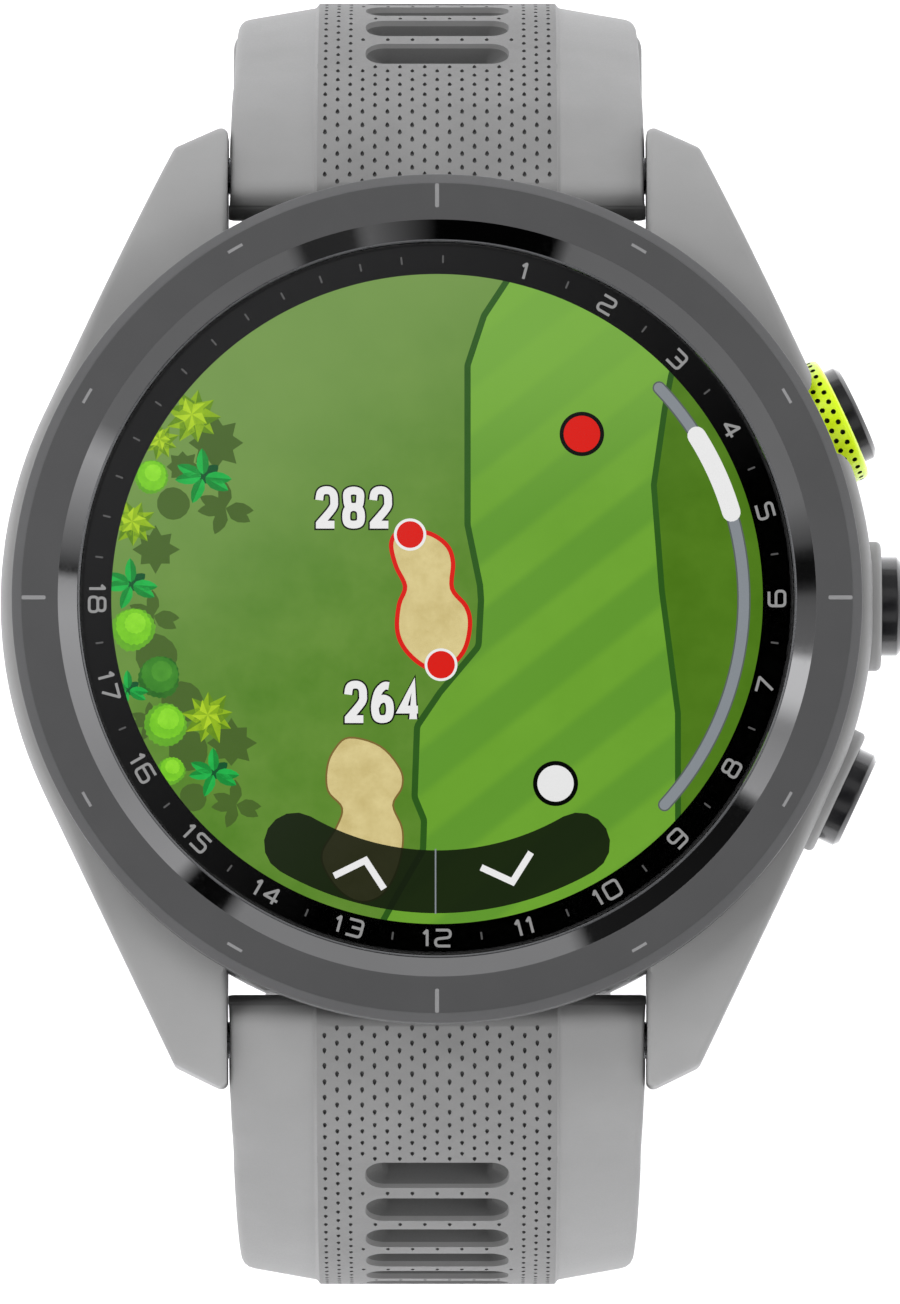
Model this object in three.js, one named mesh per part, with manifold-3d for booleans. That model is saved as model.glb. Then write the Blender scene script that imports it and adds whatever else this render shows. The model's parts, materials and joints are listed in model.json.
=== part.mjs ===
// Wrist-worn golf GPS watch with three side buttons and an unbuckled two-piece silicone strap.
// Millimetres, +Z out of the dial, +Y towards 12 o'clock, +X towards the buttons.
// The origin is the centre of the flat outer face of the sensor window, where the watch rests on the wrist.
import * as THREE from "three";
import { mergeVertices } from "three/addons/utils/BufferGeometryUtils.js";
import Module from "manifold-3d";

const wasm = await Module();
wasm.setup();

// ---------- driving dimensions ----------
const CASE_R = 23.7; // case radius at the side wall
const CASE_Z0 = 1.8; // underside of the case
const CASE_Z1 = 10.6; // top of the case, under the bezel
const CAVITY_R = 19.4;
const BEZEL_R = 23.0;
const BEZEL_Z1 = 13.9; // overall thickness over the sensor window
const GLASS_R = 19.3;
const GLASS_Z1 = 13.25;
const LUG_HALF_GAP = 11.4; // half of the gap that the strap sits in
const LUG_TIP_Y = 26.35;
const LUG_SIDE_DEG = 25.7; // the lugs' outer sides lean in by this from the 12-6 line
const NOTCH_Y = 20.9; // flat wall of the case between the lugs
const PIN_Y = 23.6; // lug pin
const PIN_Z = 5.2;
const PIN_R = 1.0;
const BUTTON_Z = 6.3;
const BUTTON_DEG = { upper: 25, middle: 0, lower: -25 };
const BUTTON_TRAVEL = 0.7;
const CLIP_DEG = 38; // slope of the strap's quick-release clip below the dial plane
const STRAP_THETA = {
  // slope of the strap's centre line below the dial plane, against length from the lug pin
  buckle: [[0, 32], [7, 54], [21.5, 90], [40, 98], [66, 150]],
  tail: [[0, 32], [7, 54], [26.5, 90], [45, 95], [118, 178]],
};
const SLOT_FIRST = 7.2; // first slot's near edge, from the lug pin
const SLOT_PITCH = 3.4;
const SLOT_H = 2.3;
const SLOT_HALF_W = 3.9;
const PANEL_HALF_W = 6.55; // raised middle band of the strap

// ---------- geometry helpers ----------
function solid(geometry, matrix) {
  const g = geometry.index ? geometry.toNonIndexed() : geometry.clone();
  const p = new THREE.BufferGeometry().setAttribute("position", g.getAttribute("position"));
  if (matrix) p.applyMatrix4(matrix);
  const m = mergeVertices(p, 1e-4);
  const tri = new Uint32Array(m.index.array);
  const make = () =>
    new wasm.Manifold(new wasm.Mesh({ numProp: 3, vertProperties: m.attributes.position.array, triVerts: tri }));
  let made = make();
  if (made.volume() < 0) {
    for (let i = 0; i < tri.length; i += 3) [tri[i + 1], tri[i + 2]] = [tri[i + 2], tri[i + 1]];
    made = make();
  }
  return made;
}
function geometryOf(manifold) {
  const m = manifold.getMesh(), n = m.numProp;
  const v = new Float32Array(m.numVert * 3);
  for (let i = 0; i < m.numVert; i++) v.set(m.vertProperties.subarray(i * n, i * n + 3), i * 3);
  const g = new THREE.BufferGeometry();
  g.setAttribute("position", new THREE.BufferAttribute(v, 3));
  g.setIndex(new THREE.BufferAttribute(new Uint32Array(m.triVerts), 1));
  return g;
}
const place = (x, y, z) => new THREE.Matrix4().makeTranslation(x, y, z);
function cyl(r, z0, z1, x = 0, y = 0, seg = 24) {
  return solid(new THREE.CylinderGeometry(r, r, z1 - z0, seg).rotateX(Math.PI / 2), place(x, y, (z0 + z1) / 2));
}
function cylX(r, x0, x1, y, z, seg = 20) {
  return solid(new THREE.CylinderGeometry(r, r, x1 - x0, seg).rotateZ(Math.PI / 2), place((x0 + x1) / 2, y, z));
}
function box(x0, x1, y0, y1, z0, z1) {
  return solid(new THREE.BoxGeometry(x1 - x0, y1 - y0, z1 - z0), place((x0 + x1) / 2, (y0 + y1) / 2, (z0 + z1) / 2));
}
// A closed [radius, height] profile turned about Z.
function turned(profile, seg = 48) {
  const pts = profile.map(([r, z]) => new THREE.Vector2(r, z));
  if (profile[0][0] > 0 || profile[profile.length - 1][0] > 0) pts.push(pts[0].clone());
  return solid(new THREE.LatheGeometry(pts, seg).rotateX(Math.PI / 2));
}
// The same, turned about X, for the buttons.
function turnedX(profile, seg = 24) {
  const pts = profile.map(([r, z]) => new THREE.Vector2(r, z));
  if (profile[0][0] > 0 || profile[profile.length - 1][0] > 0) pts.push(pts[0].clone());
  return solid(new THREE.LatheGeometry(pts, seg).rotateX(Math.PI / 2).rotateY(Math.PI / 2));
}
// A polygon in the (u, v) plane swept along X. The frame's u runs outward and down at `deg`, v is its outer normal.
function frameMatrix(y, z, deg, x0 = 0) {
  const t = THREE.MathUtils.degToRad(deg);
  const m = new THREE.Matrix4().makeBasis(
    new THREE.Vector3(0, Math.cos(t), -Math.sin(t)),
    new THREE.Vector3(0, Math.sin(t), Math.cos(t)),
    new THREE.Vector3(1, 0, 0),
  );
  m.setPosition(x0, y, z);
  return m;
}
function prismX(points, x0, x1, y = 0, z = 0, deg = 0) {
  const shape = new THREE.Shape(points.map(([u, v]) => new THREE.Vector2(u, v)));
  const g = new THREE.ExtrudeGeometry(shape, { depth: x1 - x0, bevelEnabled: false, steps: 1 });
  return solid(g, frameMatrix(y, z, deg, x0));
}
function prismZ(points, z0, z1) {
  const shape = new THREE.Shape(points.map(([x, y]) => new THREE.Vector2(x, y)));
  return solid(new THREE.ExtrudeGeometry(shape, { depth: z1 - z0, bevelEnabled: false, steps: 1 }), place(0, 0, z0));
}
const union = (list) => list.reduce((a, b) => a.add(b));
const cut = (a, ...list) => list.reduce((m, b) => m.subtract(b), a);

// ---------- scene ----------
const watch = new THREE.Group();
const MAT = {
  case: [0x8f9092, 0.55, 0], bezel: [0x3c3d40, 0.25, 0.6], glass: [0x0a0c0e, 0.05, 0], panel: [0x1c3a10, 0.3, 0],
  frame: [0x2b2c2e, 0.6, 0.1], board: [0x145232, 0.5, 0], shield: [0xb9bcc0, 0.35, 0.9], battery: [0x9aa0a8, 0.45, 0.4],
  rubber: [0x1b1b1c, 0.8, 0], cover: [0x2c2d2f, 0.6, 0], window: [0x0c0c0e, 0.1, 0], gold: [0xc9a14a, 0.3, 1],
  steel: [0x9c9ea2, 0.3, 1], button: [0x151516, 0.3, 0.5], lime: [0xb6d60a, 0.35, 0], strap: [0x9c9d9f, 0.7, 0],
  led: [0x2fd36a, 0.3, 0], copper: [0xb87333, 0.4, 0.9],
};
function add(parent, name, manifold, mat) {
  const [color, roughness, metalness] = MAT[mat];
  const mesh = new THREE.Mesh(geometryOf(manifold), new THREE.MeshStandardMaterial({ color, roughness, metalness }));
  mesh.name = name;
  parent.add(mesh);
  return mesh;
}

// ---------- case ----------
function buttonMatrix(deg) {
  return new THREE.Matrix4().makeRotationZ(THREE.MathUtils.degToRad(deg)).setPosition(0, 0, BUTTON_Z);
}
function planform() {
  const a = THREE.MathUtils.degToRad(LUG_SIDE_DEG), c = Math.cos(a), s = Math.sin(a);
  const xAt = (y) => (CASE_R - s * y) / c; // on the tangent line that the lug's side follows
  const lug = [[LUG_HALF_GAP, 10], [LUG_HALF_GAP, LUG_TIP_Y], [LUG_HALF_GAP + 0.5, LUG_TIP_Y - 0.05],
    [xAt(24.75) - 0.4, 25.05], [xAt(24.75), 24.65], [CASE_R * c, CASE_R * s]];
  const out = [cyl(CASE_R, CASE_Z0 - 3, CASE_Z1 + 1, 0, 0, 56)];
  for (const [sx, sy] of [[1, 1], [-1, 1], [1, -1], [-1, -1]])
    out.push(prismZ(lug.map(([x, y]) => [x * sx, y * sy]), CASE_Z0 - 3, CASE_Z1 + 1));
  return union(out);
}
function sideProfile() {
  // (y, z) outline of the case seen from 3 o'clock, lugs included
  const half = [[0, CASE_Z1], [18.2, CASE_Z1], [20.8, 10.15], [23.4, 9.0], [25.3, 7.5], [26.6, 5.9], [26.6, 1.5],
    [25.4, 0.9], [22.8, 1.15], [19.4, CASE_Z0], [0, CASE_Z0]];
  const left = half.slice(1, -1).reverse().map(([y, z]) => [-y, z]);
  // frame with u along +Y and v along +Z
  return prismX([...half, ...left], -30, 30, 0, 0, 0);
}
{
  let body = planform().intersect(sideProfile());
  // bevelled lower edge all round
  body = body.intersect(turned([[0, -1], [23.0, -1], [23.0, CASE_Z0 + 0.02], [CASE_R + 0.05, CASE_Z0 + 1.3],
    [CASE_R + 0.05, CASE_Z1 - 1.3], [23.1, CASE_Z1], [23.1, 12], [0, 12]], 56)
    .add(prismZ([[-30, 9.5], [30, 9.5], [30, 30], [-30, 30]], -1, 12)).add(prismZ([[-30, -30], [30, -30], [30, -9.5], [-30, -9.5]], -1, 12)));
  // inner cavity, rebate for the back cover
  body = cut(body, cyl(CAVITY_R, 3.0, 12, 0, 0, 48), cyl(19.9, -1, 3.0, 0, 0, 48));
  // notch for the strap end, below a shelf that carries the bezel
  for (const s of [1, -1]) {
    body = body.subtract(box(-LUG_HALF_GAP, LUG_HALF_GAP, Math.min(s * NOTCH_Y, s * 30), Math.max(s * NOTCH_Y, s * 30), -2, 9.0));
    body = body.subtract(cylX(PIN_R + 0.08, -17, 17, s * PIN_Y, PIN_Z, 16));
    // the shelf keeps to the bezel's outline
    const beyond = box(-LUG_HALF_GAP, LUG_HALF_GAP, Math.min(s * 15, s * 30), Math.max(s * 15, s * 30), 8.9, 12).subtract(cyl(22.9, 8, 13, 0, 0, 56));
    body = body.subtract(beyond);
  }
  // screw bosses inside
  for (const [sx, sy] of [[1, 1], [-1, 1], [1, -1], [-1, -1]])
    body = body.add(cyl(1.7, 3.02, 6.4, sx * 12.5, sy * 12.5, 12).add(box(-1.2, 1.2, 0, 1.9, 3.02, 6.4)
      .rotate([0, 0, 0]).transform(new THREE.Matrix4().makeRotationZ(Math.atan2(sy, sx) - Math.PI / 2).setPosition(sx * 12.5, sy * 12.5, 0).toArray())))
      .subtract(cyl(0.76, 0, 5.5, sx * 12.5, sy * 12.5, 12));
  // button bores
  for (const deg of Object.values(BUTTON_DEG)) {
    const m = buttonMatrix(deg);
    body = body.subtract(solid(new THREE.CylinderGeometry(3.6, 3.6, 8, 20).rotateZ(Math.PI / 2), m.clone().multiply(place(21.72 + 4, 0, 0))));
    body = body.subtract(solid(new THREE.CylinderGeometry(1.98, 1.98, 6, 20).rotateZ(Math.PI / 2), m.clone().multiply(place(19.6, 0, 0))));
  }
  add(watch, "mid_case", body, "case");
}

// ---------- bezel, glass, display ----------
add(watch, "bezel", turned([[17.95, 10.68], [22.55, 10.68], [BEZEL_R, 11.1], [BEZEL_R, 13.2], [22.6, BEZEL_Z1 - 0.06],
  [22.3, BEZEL_Z1], [20.65, BEZEL_Z1], [GLASS_R + 0.1, 13.3], [GLASS_R + 0.1, 12.0], [17.95, 12.0]], 64), "bezel");
add(watch, "cover_glass", turned([[0, 12.25], [GLASS_R, 12.25], [GLASS_R, 13.0], [GLASS_R - 0.25, GLASS_Z1], [0, GLASS_Z1]], 56), "glass");
add(watch, "glass_gasket", turned([[18.1, 12.03], [19.2, 12.03], [19.2, 12.2], [18.1, 12.2]], 40), "rubber");
add(watch, "display_panel", turned([[0, 10.9], [17.7, 10.9], [17.7, 12.2], [0, 12.2]], 48), "panel");
{
  const carrier = turned([[0, 9.7], [19.2, 9.7], [19.2, 10.55], [17.6, 10.55], [17.6, 10.1], [0, 10.1]], 40);
  add(watch, "display_carrier", cut(carrier, box(-5, 5, -16, -13, 9, 11), cyl(1.1, 9, 11, 12.5, 12.5, 12), cyl(1.1, 9, 11, -12.5, 12.5, 12)), "frame");
}

// ---------- electronics ----------
add(watch, "antenna_ring", cut(turned([[18.25, 8.8], [19.15, 8.8], [19.15, 9.6], [18.25, 9.6]], 40), box(-1, 1, 17, 20, 8, 10)), "copper");
{
  let board = cyl(17.95, 7.9, 8.7, 0, 0, 40);
  board = cut(board, box(-4, 4, 15.2, 20, 7, 9), box(-5, 5, -20, -15.6, 7, 9), cyl(1.2, 7, 9, 12.2, 12.2, 12), cyl(1.2, 7, 9, -12.2, -12.2, 12));
  add(watch, "main_board", board, "board");
}
const can = (x0, x1, y0, y1, z0, z1) => prismZ([[x0 + 0.6, y0], [x1 - 0.6, y0], [x1, y0 + 0.6], [x1, y1 - 0.6], [x1 - 0.6, y1], [x0 + 0.6, y1], [x0, y1 - 0.6], [x0, y0 + 0.6]], z0, z1);
add(watch, "processor_shield", can(-11, 0.5, -7, 6, 8.75, 9.6), "shield");
add(watch, "receiver_shield", can(2.2, 11.8, -3.5, 6, 8.75, 9.6), "shield");
{
  const rr = (w, h, r, z0, z1) => {
    const pts = [];
    for (const [cx, cy, a0] of [[w - r, h - r, 0], [-(w - r), h - r, 90], [-(w - r), -(h - r), 180], [w - r, -(h - r), 270]])
      for (let i = 0; i <= 3; i++) {
        const a = THREE.MathUtils.degToRad(a0 + i * 30);
        pts.push([cx + r * Math.cos(a), cy + r * Math.sin(a)]);
      }
    return prismZ(pts, z0, z1);
  };
  add(watch, "battery", rr(12.6, 10, 1.8, 3.5, 7.5), "battery");
  const tray = cut(rr(13.1, 10.4, 2, 3.05, 5.0), rr(12.75, 10.15, 1.8, 3.35, 6), box(-8, 8, -12, 12, 3.35, 6), box(-14, 14, -6, 6, 3.35, 6));
  add(watch, "battery_tray", tray, "frame");
}
add(watch, "vibration_motor", cyl(3.9, 4.0, 6.8, 0, 14.6, 28).add(box(-1.6, 1.6, 10.75, 12, 4.0, 4.5)), "shield");

// ---------- back ----------
{
  let cover = turned([[9.95, 1.25], [17.2, 1.25], [18.9, 1.75], [19.7, 1.95], [19.7, 2.52], [9.95, 2.8]], 40);
  cover = cover.subtract(box(-4.1, 4.1, -16.1, -12.9, 0, 2.2));
  for (const x of [-2.7, -0.9, 0.9, 2.7]) cover = cover.subtract(cyl(0.5, 0, 4, x, -14.5, 12));
  for (const [sx, sy] of [[1, 1], [-1, 1], [1, -1], [-1, -1]])
    cover = cut(cover, cyl(0.8, 0, 4, sx * 12.5, sy * 12.5, 12), cyl(1.35, 0, 2.1, sx * 12.5, sy * 12.5, 16));
  add(watch, "back_cover", cover, "cover");
}
add(watch, "back_seal", turned([[19.45, 2.6], [19.82, 2.6], [19.82, 2.92], [19.45, 2.92]], 40), "rubber");
add(watch, "sensor_window", turned([[0, 0], [7.4, 0], [8.7, 0.35], [9.85, 1.0], [9.85, 1.9], [7.2, 1.9], [7.2, 0.75], [0, 0.75]], 36), "window");
add(watch, "sensor_board", cut(cyl(9.6, 2.0, 2.6, 0, 0, 28), box(-2.5, 2.5, 7.5, 11, 1, 3)), "board");
add(watch, "sensor_led", box(-1.3, 1.3, -1.0, 1.0, 1.3, 1.95), "led");
add(watch, "sensor_photodiode", box(3.4, 5.6, -1.5, 1.5, 1.4, 1.95), "window");
[-2.7, -0.9, 0.9, 2.7].forEach((x, i) => add(watch, "charge_contact_" + (i + 1), cyl(0.44, 1.75, 3.2, x, -14.5, 12), "gold"));
[[1, 1], [-1, 1], [-1, -1], [1, -1]].forEach(([sx, sy], i) => {
  const x = sx * 12.5, y = sy * 12.5;
  const torx = [];
  for (let k = 0; k < 12; k++) {
    const a = (k * Math.PI) / 6, r = k % 2 ? 0.45 : 0.68;
    torx.push([x + r * Math.cos(a), y + r * Math.sin(a)]);
  }
  add(watch, "back_screw_" + (i + 1), cut(cyl(1.25, 1.4, 2.05, x, y, 20).add(cyl(0.7, 2.0, 5.2, x, y, 12)), prismZ(torx, 1.0, 1.85)), "steel");
});

// ---------- lug pins ----------
for (const [name, s] of [["lug_pin_12", 1], ["lug_pin_6", -1]])
  add(watch, name, cut(cylX(PIN_R, -14.0, 14.0, s * PIN_Y, PIN_Z, 16), box(13.5, 15, s * PIN_Y - 0.22, s * PIN_Y + 0.22, PIN_Z - 0.7, PIN_Z + 0.7),
    box(-15, -13.5, s * PIN_Y - 0.22, s * PIN_Y + 0.22, PIN_Z - 0.7, PIN_Z + 0.7)), "steel");

// ---------- buttons ----------
class Helix extends THREE.Curve {
  constructor(r, x0, x1, turns) { super(); Object.assign(this, { r, x0, x1, turns }); }
  getPoint(t, target = new THREE.Vector3()) {
    const a = t * this.turns * 2 * Math.PI;
    return target.set(this.x0 + (this.x1 - this.x0) * t, this.r * Math.cos(a), this.r * Math.sin(a));
  }
}
function coil(r, wire, x0, x1, turns, perTurn = 9) {
  const ring = [];
  for (let i = 0; i < 4; i++) ring.push(new THREE.Vector2(wire * Math.cos((i * Math.PI) / 2), wire * Math.sin((i * Math.PI) / 2)));
  const g = new THREE.ExtrudeGeometry(new THREE.Shape(ring), { steps: Math.round(turns * perTurn), bevelEnabled: false, extrudePath: new Helix(r, x0, x1, turns) });
  return solid(g);
}
for (const [which, deg] of Object.entries(BUTTON_DEG)) {
  const g = new THREE.Group();
  g.rotation.z = THREE.MathUtils.degToRad(deg);
  g.position.z = BUTTON_Z;
  watch.add(g);
  // collar: flange round the cap, sleeve through the case wall
  add(g, "button_collar_" + which, turnedX([[1.35, 22.45], [1.35, 19.95], [0.98, 19.95], [0.98, 19.55], [1.88, 19.55], [1.88, 21.8],
    [3.3, 21.8], [3.5, 22.0], [3.5, 23.95], [3.3, 24.15], [2.82, 24.15], [2.82, 22.45]], 20), which === "upper" ? "lime" : "case");
  // cap and stem in one, with a groove for the retaining clip
  add(g, "button_" + which, turnedX([[0, 18.2], [0.8, 18.2], [0.8, 19.08], [0.62, 19.08], [0.62, 19.5], [0.8, 19.5], [0.8, 24.45], [2.1, 24.45],
    [2.1, 23.3], [2.7, 23.3], [2.7, 24.95], [2.4, 25.25], [1.9, 25.25], [1.7, 25.1], [0, 25.1]], 20), "button");
  add(g, "button_seal_" + which, turnedX([[0.86, 20.7], [1.3, 20.7], [1.3, 21.1], [0.86, 21.1]], 16), "rubber");
  add(g, "button_clip_" + which, cut(turnedX([[0.68, 19.14], [1.6, 19.14], [1.6, 19.42], [0.68, 19.42]], 20), box(18, 20, -0.55, 0.55, 0, 3)), "steel");
  add(g, "button_spring_" + which, coil(1.72, 0.13, 22.65, 24.25, 3, 9), "steel");
  add(g, "button_switch_" + which, box(15.6, 16.9, -1.6, 1.6, -1.3, 1.2).add(box(16.8, 17.4, -0.6, 0.6, -0.5, 0.5)), "frame");
}

// ---------- strap ----------
function strapPath(knots) {
  const at = (s) => {
    if (s <= knots[0][0]) return knots[0][1];
    for (let i = 1; i < knots.length; i++)
      if (s <= knots[i][0]) {
        const [s0, t0] = knots[i - 1], [s1, t1] = knots[i];
        return t0 + ((t1 - t0) * (s - s0)) / (s1 - s0);
      }
    return knots[knots.length - 1][1];
  };
  const ds = 0.05, pts = [[PIN_Y, PIN_Z]];
  const n = Math.round((knots[knots.length - 1][0] + 2) / ds);
  for (let i = 0; i < n; i++) {
    const t = THREE.MathUtils.degToRad(at((i + 0.5) * ds));
    const [y, z] = pts[i];
    pts.push([y + Math.cos(t) * ds, z - Math.sin(t) * ds]);
  }
  return (s) => {
    const f = Math.min(Math.max(s / ds, 0), n - 1e-6), i = Math.floor(f), k = f - i;
    return { y: pts[i][0] * (1 - k) + pts[i + 1][0] * k, z: pts[i][1] * (1 - k) + pts[i + 1][1] * k, deg: at(s) };
  };
}
const lerpTable = (table) => (s) => {
  if (s <= table[0][0]) return table[0][1];
  for (let i = 1; i < table.length; i++)
    if (s <= table[i][0]) {
      const [a, b] = table[i - 1], [c, d] = table[i];
      return b + ((d - b) * (s - a)) / (c - a);
    }
  return table[table.length - 1][1];
};
const STRAP_TOP = lerpTable([[0, 2.4], [3, 2.25], [5, 1.9], [7, 1.55], [9, 1.38], [12, 1.3]]);
const STRAP_UNDER = lerpTable([[0, 1.95], [6, 1.95], [8.5, 1.4], [11, 1.15]]);
const STRAP_EDGE_DROP = lerpTable([[0, 0.35], [12, 0.85], [200, 0.85]]);
const WIDTH = {
  buckle: lerpTable([[0, 11.15], [10, 11.15], [25, 10.9], [66, 10.2]]),
  tail: lerpTable([[0, 11.15], [10, 11.15], [25, 10.9], [60, 10.2], [109, 10.0], [112.5, 9.4], [115.5, 7.8], [117.2, 5.6], [118, 3.4]]),
};
function strapSection(path, s, w) {
  const { y, z, deg } = path(s);
  const to = STRAP_TOP(s), ti = STRAP_UNDER(s), e = STRAP_EDGE_DROP(s);
  const p = Math.min(PANEL_HALF_W, w * 0.62), t = THREE.MathUtils.degToRad(deg);
  const c = [[-w, -ti + 0.3], [-w + 0.5, -ti], [w - 0.5, -ti], [w, -ti + 0.3], [w, to - e], [p + 0.2, to - 0.28], [p, to], [-p, to], [-p - 0.2, to - 0.28], [-w, to - e]];
  return c.map(([x, v]) => [x, y + v * Math.sin(t), z + v * Math.cos(t)]);
}
function loft(sections) {
  const n = sections[0].length, pos = [], idx = [];
  sections.forEach((ring) => ring.forEach((p) => pos.push(...p)));
  for (let i = 0; i + 1 < sections.length; i++)
    for (let j = 0; j < n; j++) {
      const a = i * n + j, b = i * n + ((j + 1) % n), c = a + n, d = b + n;
      idx.push(a, c, b, b, c, d);
    }
  const capOf = (ring, base, flip) => {
    const o = new THREE.Vector3(...ring[0]), ex = new THREE.Vector3(1, 0, 0);
    const mid = new THREE.Vector3(0, ring[6][1] - ring[1][1], ring[6][2] - ring[1][2]).normalize();
    const flat = ring.map((p) => { const d = new THREE.Vector3(...p).sub(o); return new THREE.Vector2(d.dot(ex), d.dot(mid)); });
    for (const [a, b, c] of THREE.ShapeUtils.triangulateShape(flat, [])) flip ? idx.push(base + a, base + c, base + b) : idx.push(base + a, base + b, base + c);
  };
  capOf(sections[0], 0, false);
  capOf(sections[sections.length - 1], (sections.length - 1) * n, true);
  const g = new THREE.BufferGeometry();
  g.setAttribute("position", new THREE.BufferAttribute(new Float32Array(pos), 3));
  g.setIndex(idx);
  return solid(g);
}
function strapBody(kind, length, slots) {
  const path = strapPath(STRAP_THETA[kind]), w = WIDTH[kind];
  const stops = [0, 1.5, 3, 4.5, 5.7, SLOT_FIRST - 0.55, SLOT_FIRST + 1.15];
  for (let s = SLOT_FIRST - 0.55 + SLOT_PITCH; s < length - 7.5; s += SLOT_PITCH) stops.push(s);
  for (const s of kind === "tail" ? [109, 112.5, 115.5, 117.2, 118] : [length - 6.5, length - 4, length - 2, length]) stops.push(s);
  let body = loft(stops.map((s) => strapSection(path, s, w(s))));
  // rounded root round the lug pin
  body = body.add(cylX(2.4, -11.15, 11.15, PIN_Y, PIN_Z, 20));
  // slot that lets the pin in from below, and the pocket for the clip and its latch
  const slot = [];
  for (let i = 0; i <= 8; i++) slot.push([1.2 * Math.cos((i * Math.PI) / 8), 1.2 * Math.sin((i * Math.PI) / 8)]);
  body = body.subtract(prismX([...slot, [-1.2, -4], [1.2, -4]], -12, 12, PIN_Y, PIN_Z, CLIP_DEG));
  body = body.subtract(prismX([[-4, -4], [4.68, -4], [4.68, 1.07], [1.55, 1.82], [-1.0, 1.82], [-1.6, 1.4], [-4, 1.4]], -8.9, 8.9, PIN_Y, PIN_Z, CLIP_DEG));
  body = body.subtract(prismX([[4, -4], [7.0, -4], [7.0, -1.1], [4, -1.1]], -4.25, 4.25, PIN_Y, PIN_Z, CLIP_DEG));
  // through slots
  for (let i = 0; i < slots; i++) {
    const s = SLOT_FIRST + SLOT_H / 2 + i * SLOT_PITCH, { y, z, deg } = path(s);
    const h = SLOT_H / 2, q = SLOT_HALF_W;
    const shape = new THREE.Shape([[q, 0], [q - 0.6, h], [-q + 0.6, h], [-q, 0], [-q + 0.6, -h], [q - 0.6, -h]].map(([x, u]) => new THREE.Vector2(u, x)));
    const t = THREE.MathUtils.degToRad(deg);
    // shape's first axis runs along the strap, its second along X, and it is swept along the normal
    const m = new THREE.Matrix4().makeBasis(new THREE.Vector3(0, Math.cos(t), -Math.sin(t)), new THREE.Vector3(1, 0, 0), new THREE.Vector3(0, -Math.sin(t), -Math.cos(t)));
    m.setPosition(0, y + 4 * Math.sin(t), z + 4 * Math.cos(t));
    body = body.subtract(solid(new THREE.ExtrudeGeometry(shape, { depth: 8, bevelEnabled: false, steps: 1 }), m));
  }
  return body;
}
function clip() {
  const hook = [[-1.9, -1.2], [-1.15, -1.2]];
  for (let i = 8; i >= 0; i--) hook.push([1.15 * Math.cos((i * Math.PI) / 8), 1.15 * Math.sin((i * Math.PI) / 8)]);
  hook.push([1.15, -1.2], [4.6, -1.2], [4.6, 1.0], [1.5, 1.75], [-0.95, 1.75], [-1.9, 1.0]);
  let c = prismX(hook, -8.8, 8.8, PIN_Y, PIN_Z, CLIP_DEG);
  for (const [a, b] of [[-8.8, -4.35], [4.35, 8.8]])
    c = c.add(prismX([[1.3, -1.95], [4.6, -1.95], [4.6, -1.15], [1.3, -1.15]], a, b, PIN_Y, PIN_Z, CLIP_DEG));
  return c;
}
function latch() {
  return prismX([[-1.25, -1.9], [2.7, -1.9], [2.9, -2.55], [3.3, -2.55], [3.4, -2.25], [3.7, -2.25], [3.8, -2.55], [4.2, -2.55], [4.4, -1.9], [4.4, -1.26], [-1.25, -1.26]], -4.15, 4.15, PIN_Y, PIN_Z, CLIP_DEG);
}
function latchSpring() {
  const m = frameMatrix(PIN_Y, PIN_Z, CLIP_DEG);
  // the coil helper winds along X: turn it to wind along u
  const along = new THREE.Matrix4().makeBasis(new THREE.Vector3(1, 0, 0), new THREE.Vector3(0, 1, 0), new THREE.Vector3(0, 0, 1)).setPosition(0, -1.62, 0);
  return coil(0.34, 0.08, 4.55, 6.85, 4, 6).transform(m.clone().multiply(along).toArray());
}
const buckleSide = new THREE.Group();
const tailSide = new THREE.Group();
tailSide.rotation.z = Math.PI;
watch.add(buckleSide, tailSide);

const BUCKLE_S = 66; // length of the buckle half, pin to pin
const KEEPER_S = { fixed: 56, free: 46.5 };
const BUCKLE_DEG = 93; // the open buckle hangs nearly plumb from its pin
const bPath = strapPath(STRAP_THETA.buckle);
const end = bPath(BUCKLE_S);
{
  let s = strapBody("buckle", BUCKLE_S, 7);
  s = s.add(cylX(1.75, -10.1, 10.1, end.y, end.z, 20));
  s = cut(s, cylX(0.78, -12, 12, end.y, end.z, 14), prismX([[-3.4, -4], [4, -4], [4, 4], [-3.4, 4]], -3.6, 3.6, end.y, end.z, end.deg));
  const k = bPath(KEEPER_S.fixed), kw = WIDTH.buckle(KEEPER_S.fixed);
  for (const [a, b] of [[kw - 0.55, 13], [-13, -kw + 0.55]]) s = s.subtract(prismX([[-2.8, -4], [2.8, -4], [2.8, 4], [-2.8, 4]], a, b, k.y, k.z, k.deg));
  add(buckleSide, "strap_buckle_half", s, "strap");
  add(tailSide, "strap_tail_half", strapBody("tail", 118, 30), "strap");
  add(buckleSide, "strap_clip_12", clip(), "steel");
  add(tailSide, "strap_clip_6", clip(), "steel");
  add(buckleSide, "clip_latch_12", latch(), "steel");
  add(tailSide, "clip_latch_6", latch(), "steel");
  add(buckleSide, "latch_spring_12", latchSpring(), "steel");
  add(tailSide, "latch_spring_6", latchSpring(), "steel");
}

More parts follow.
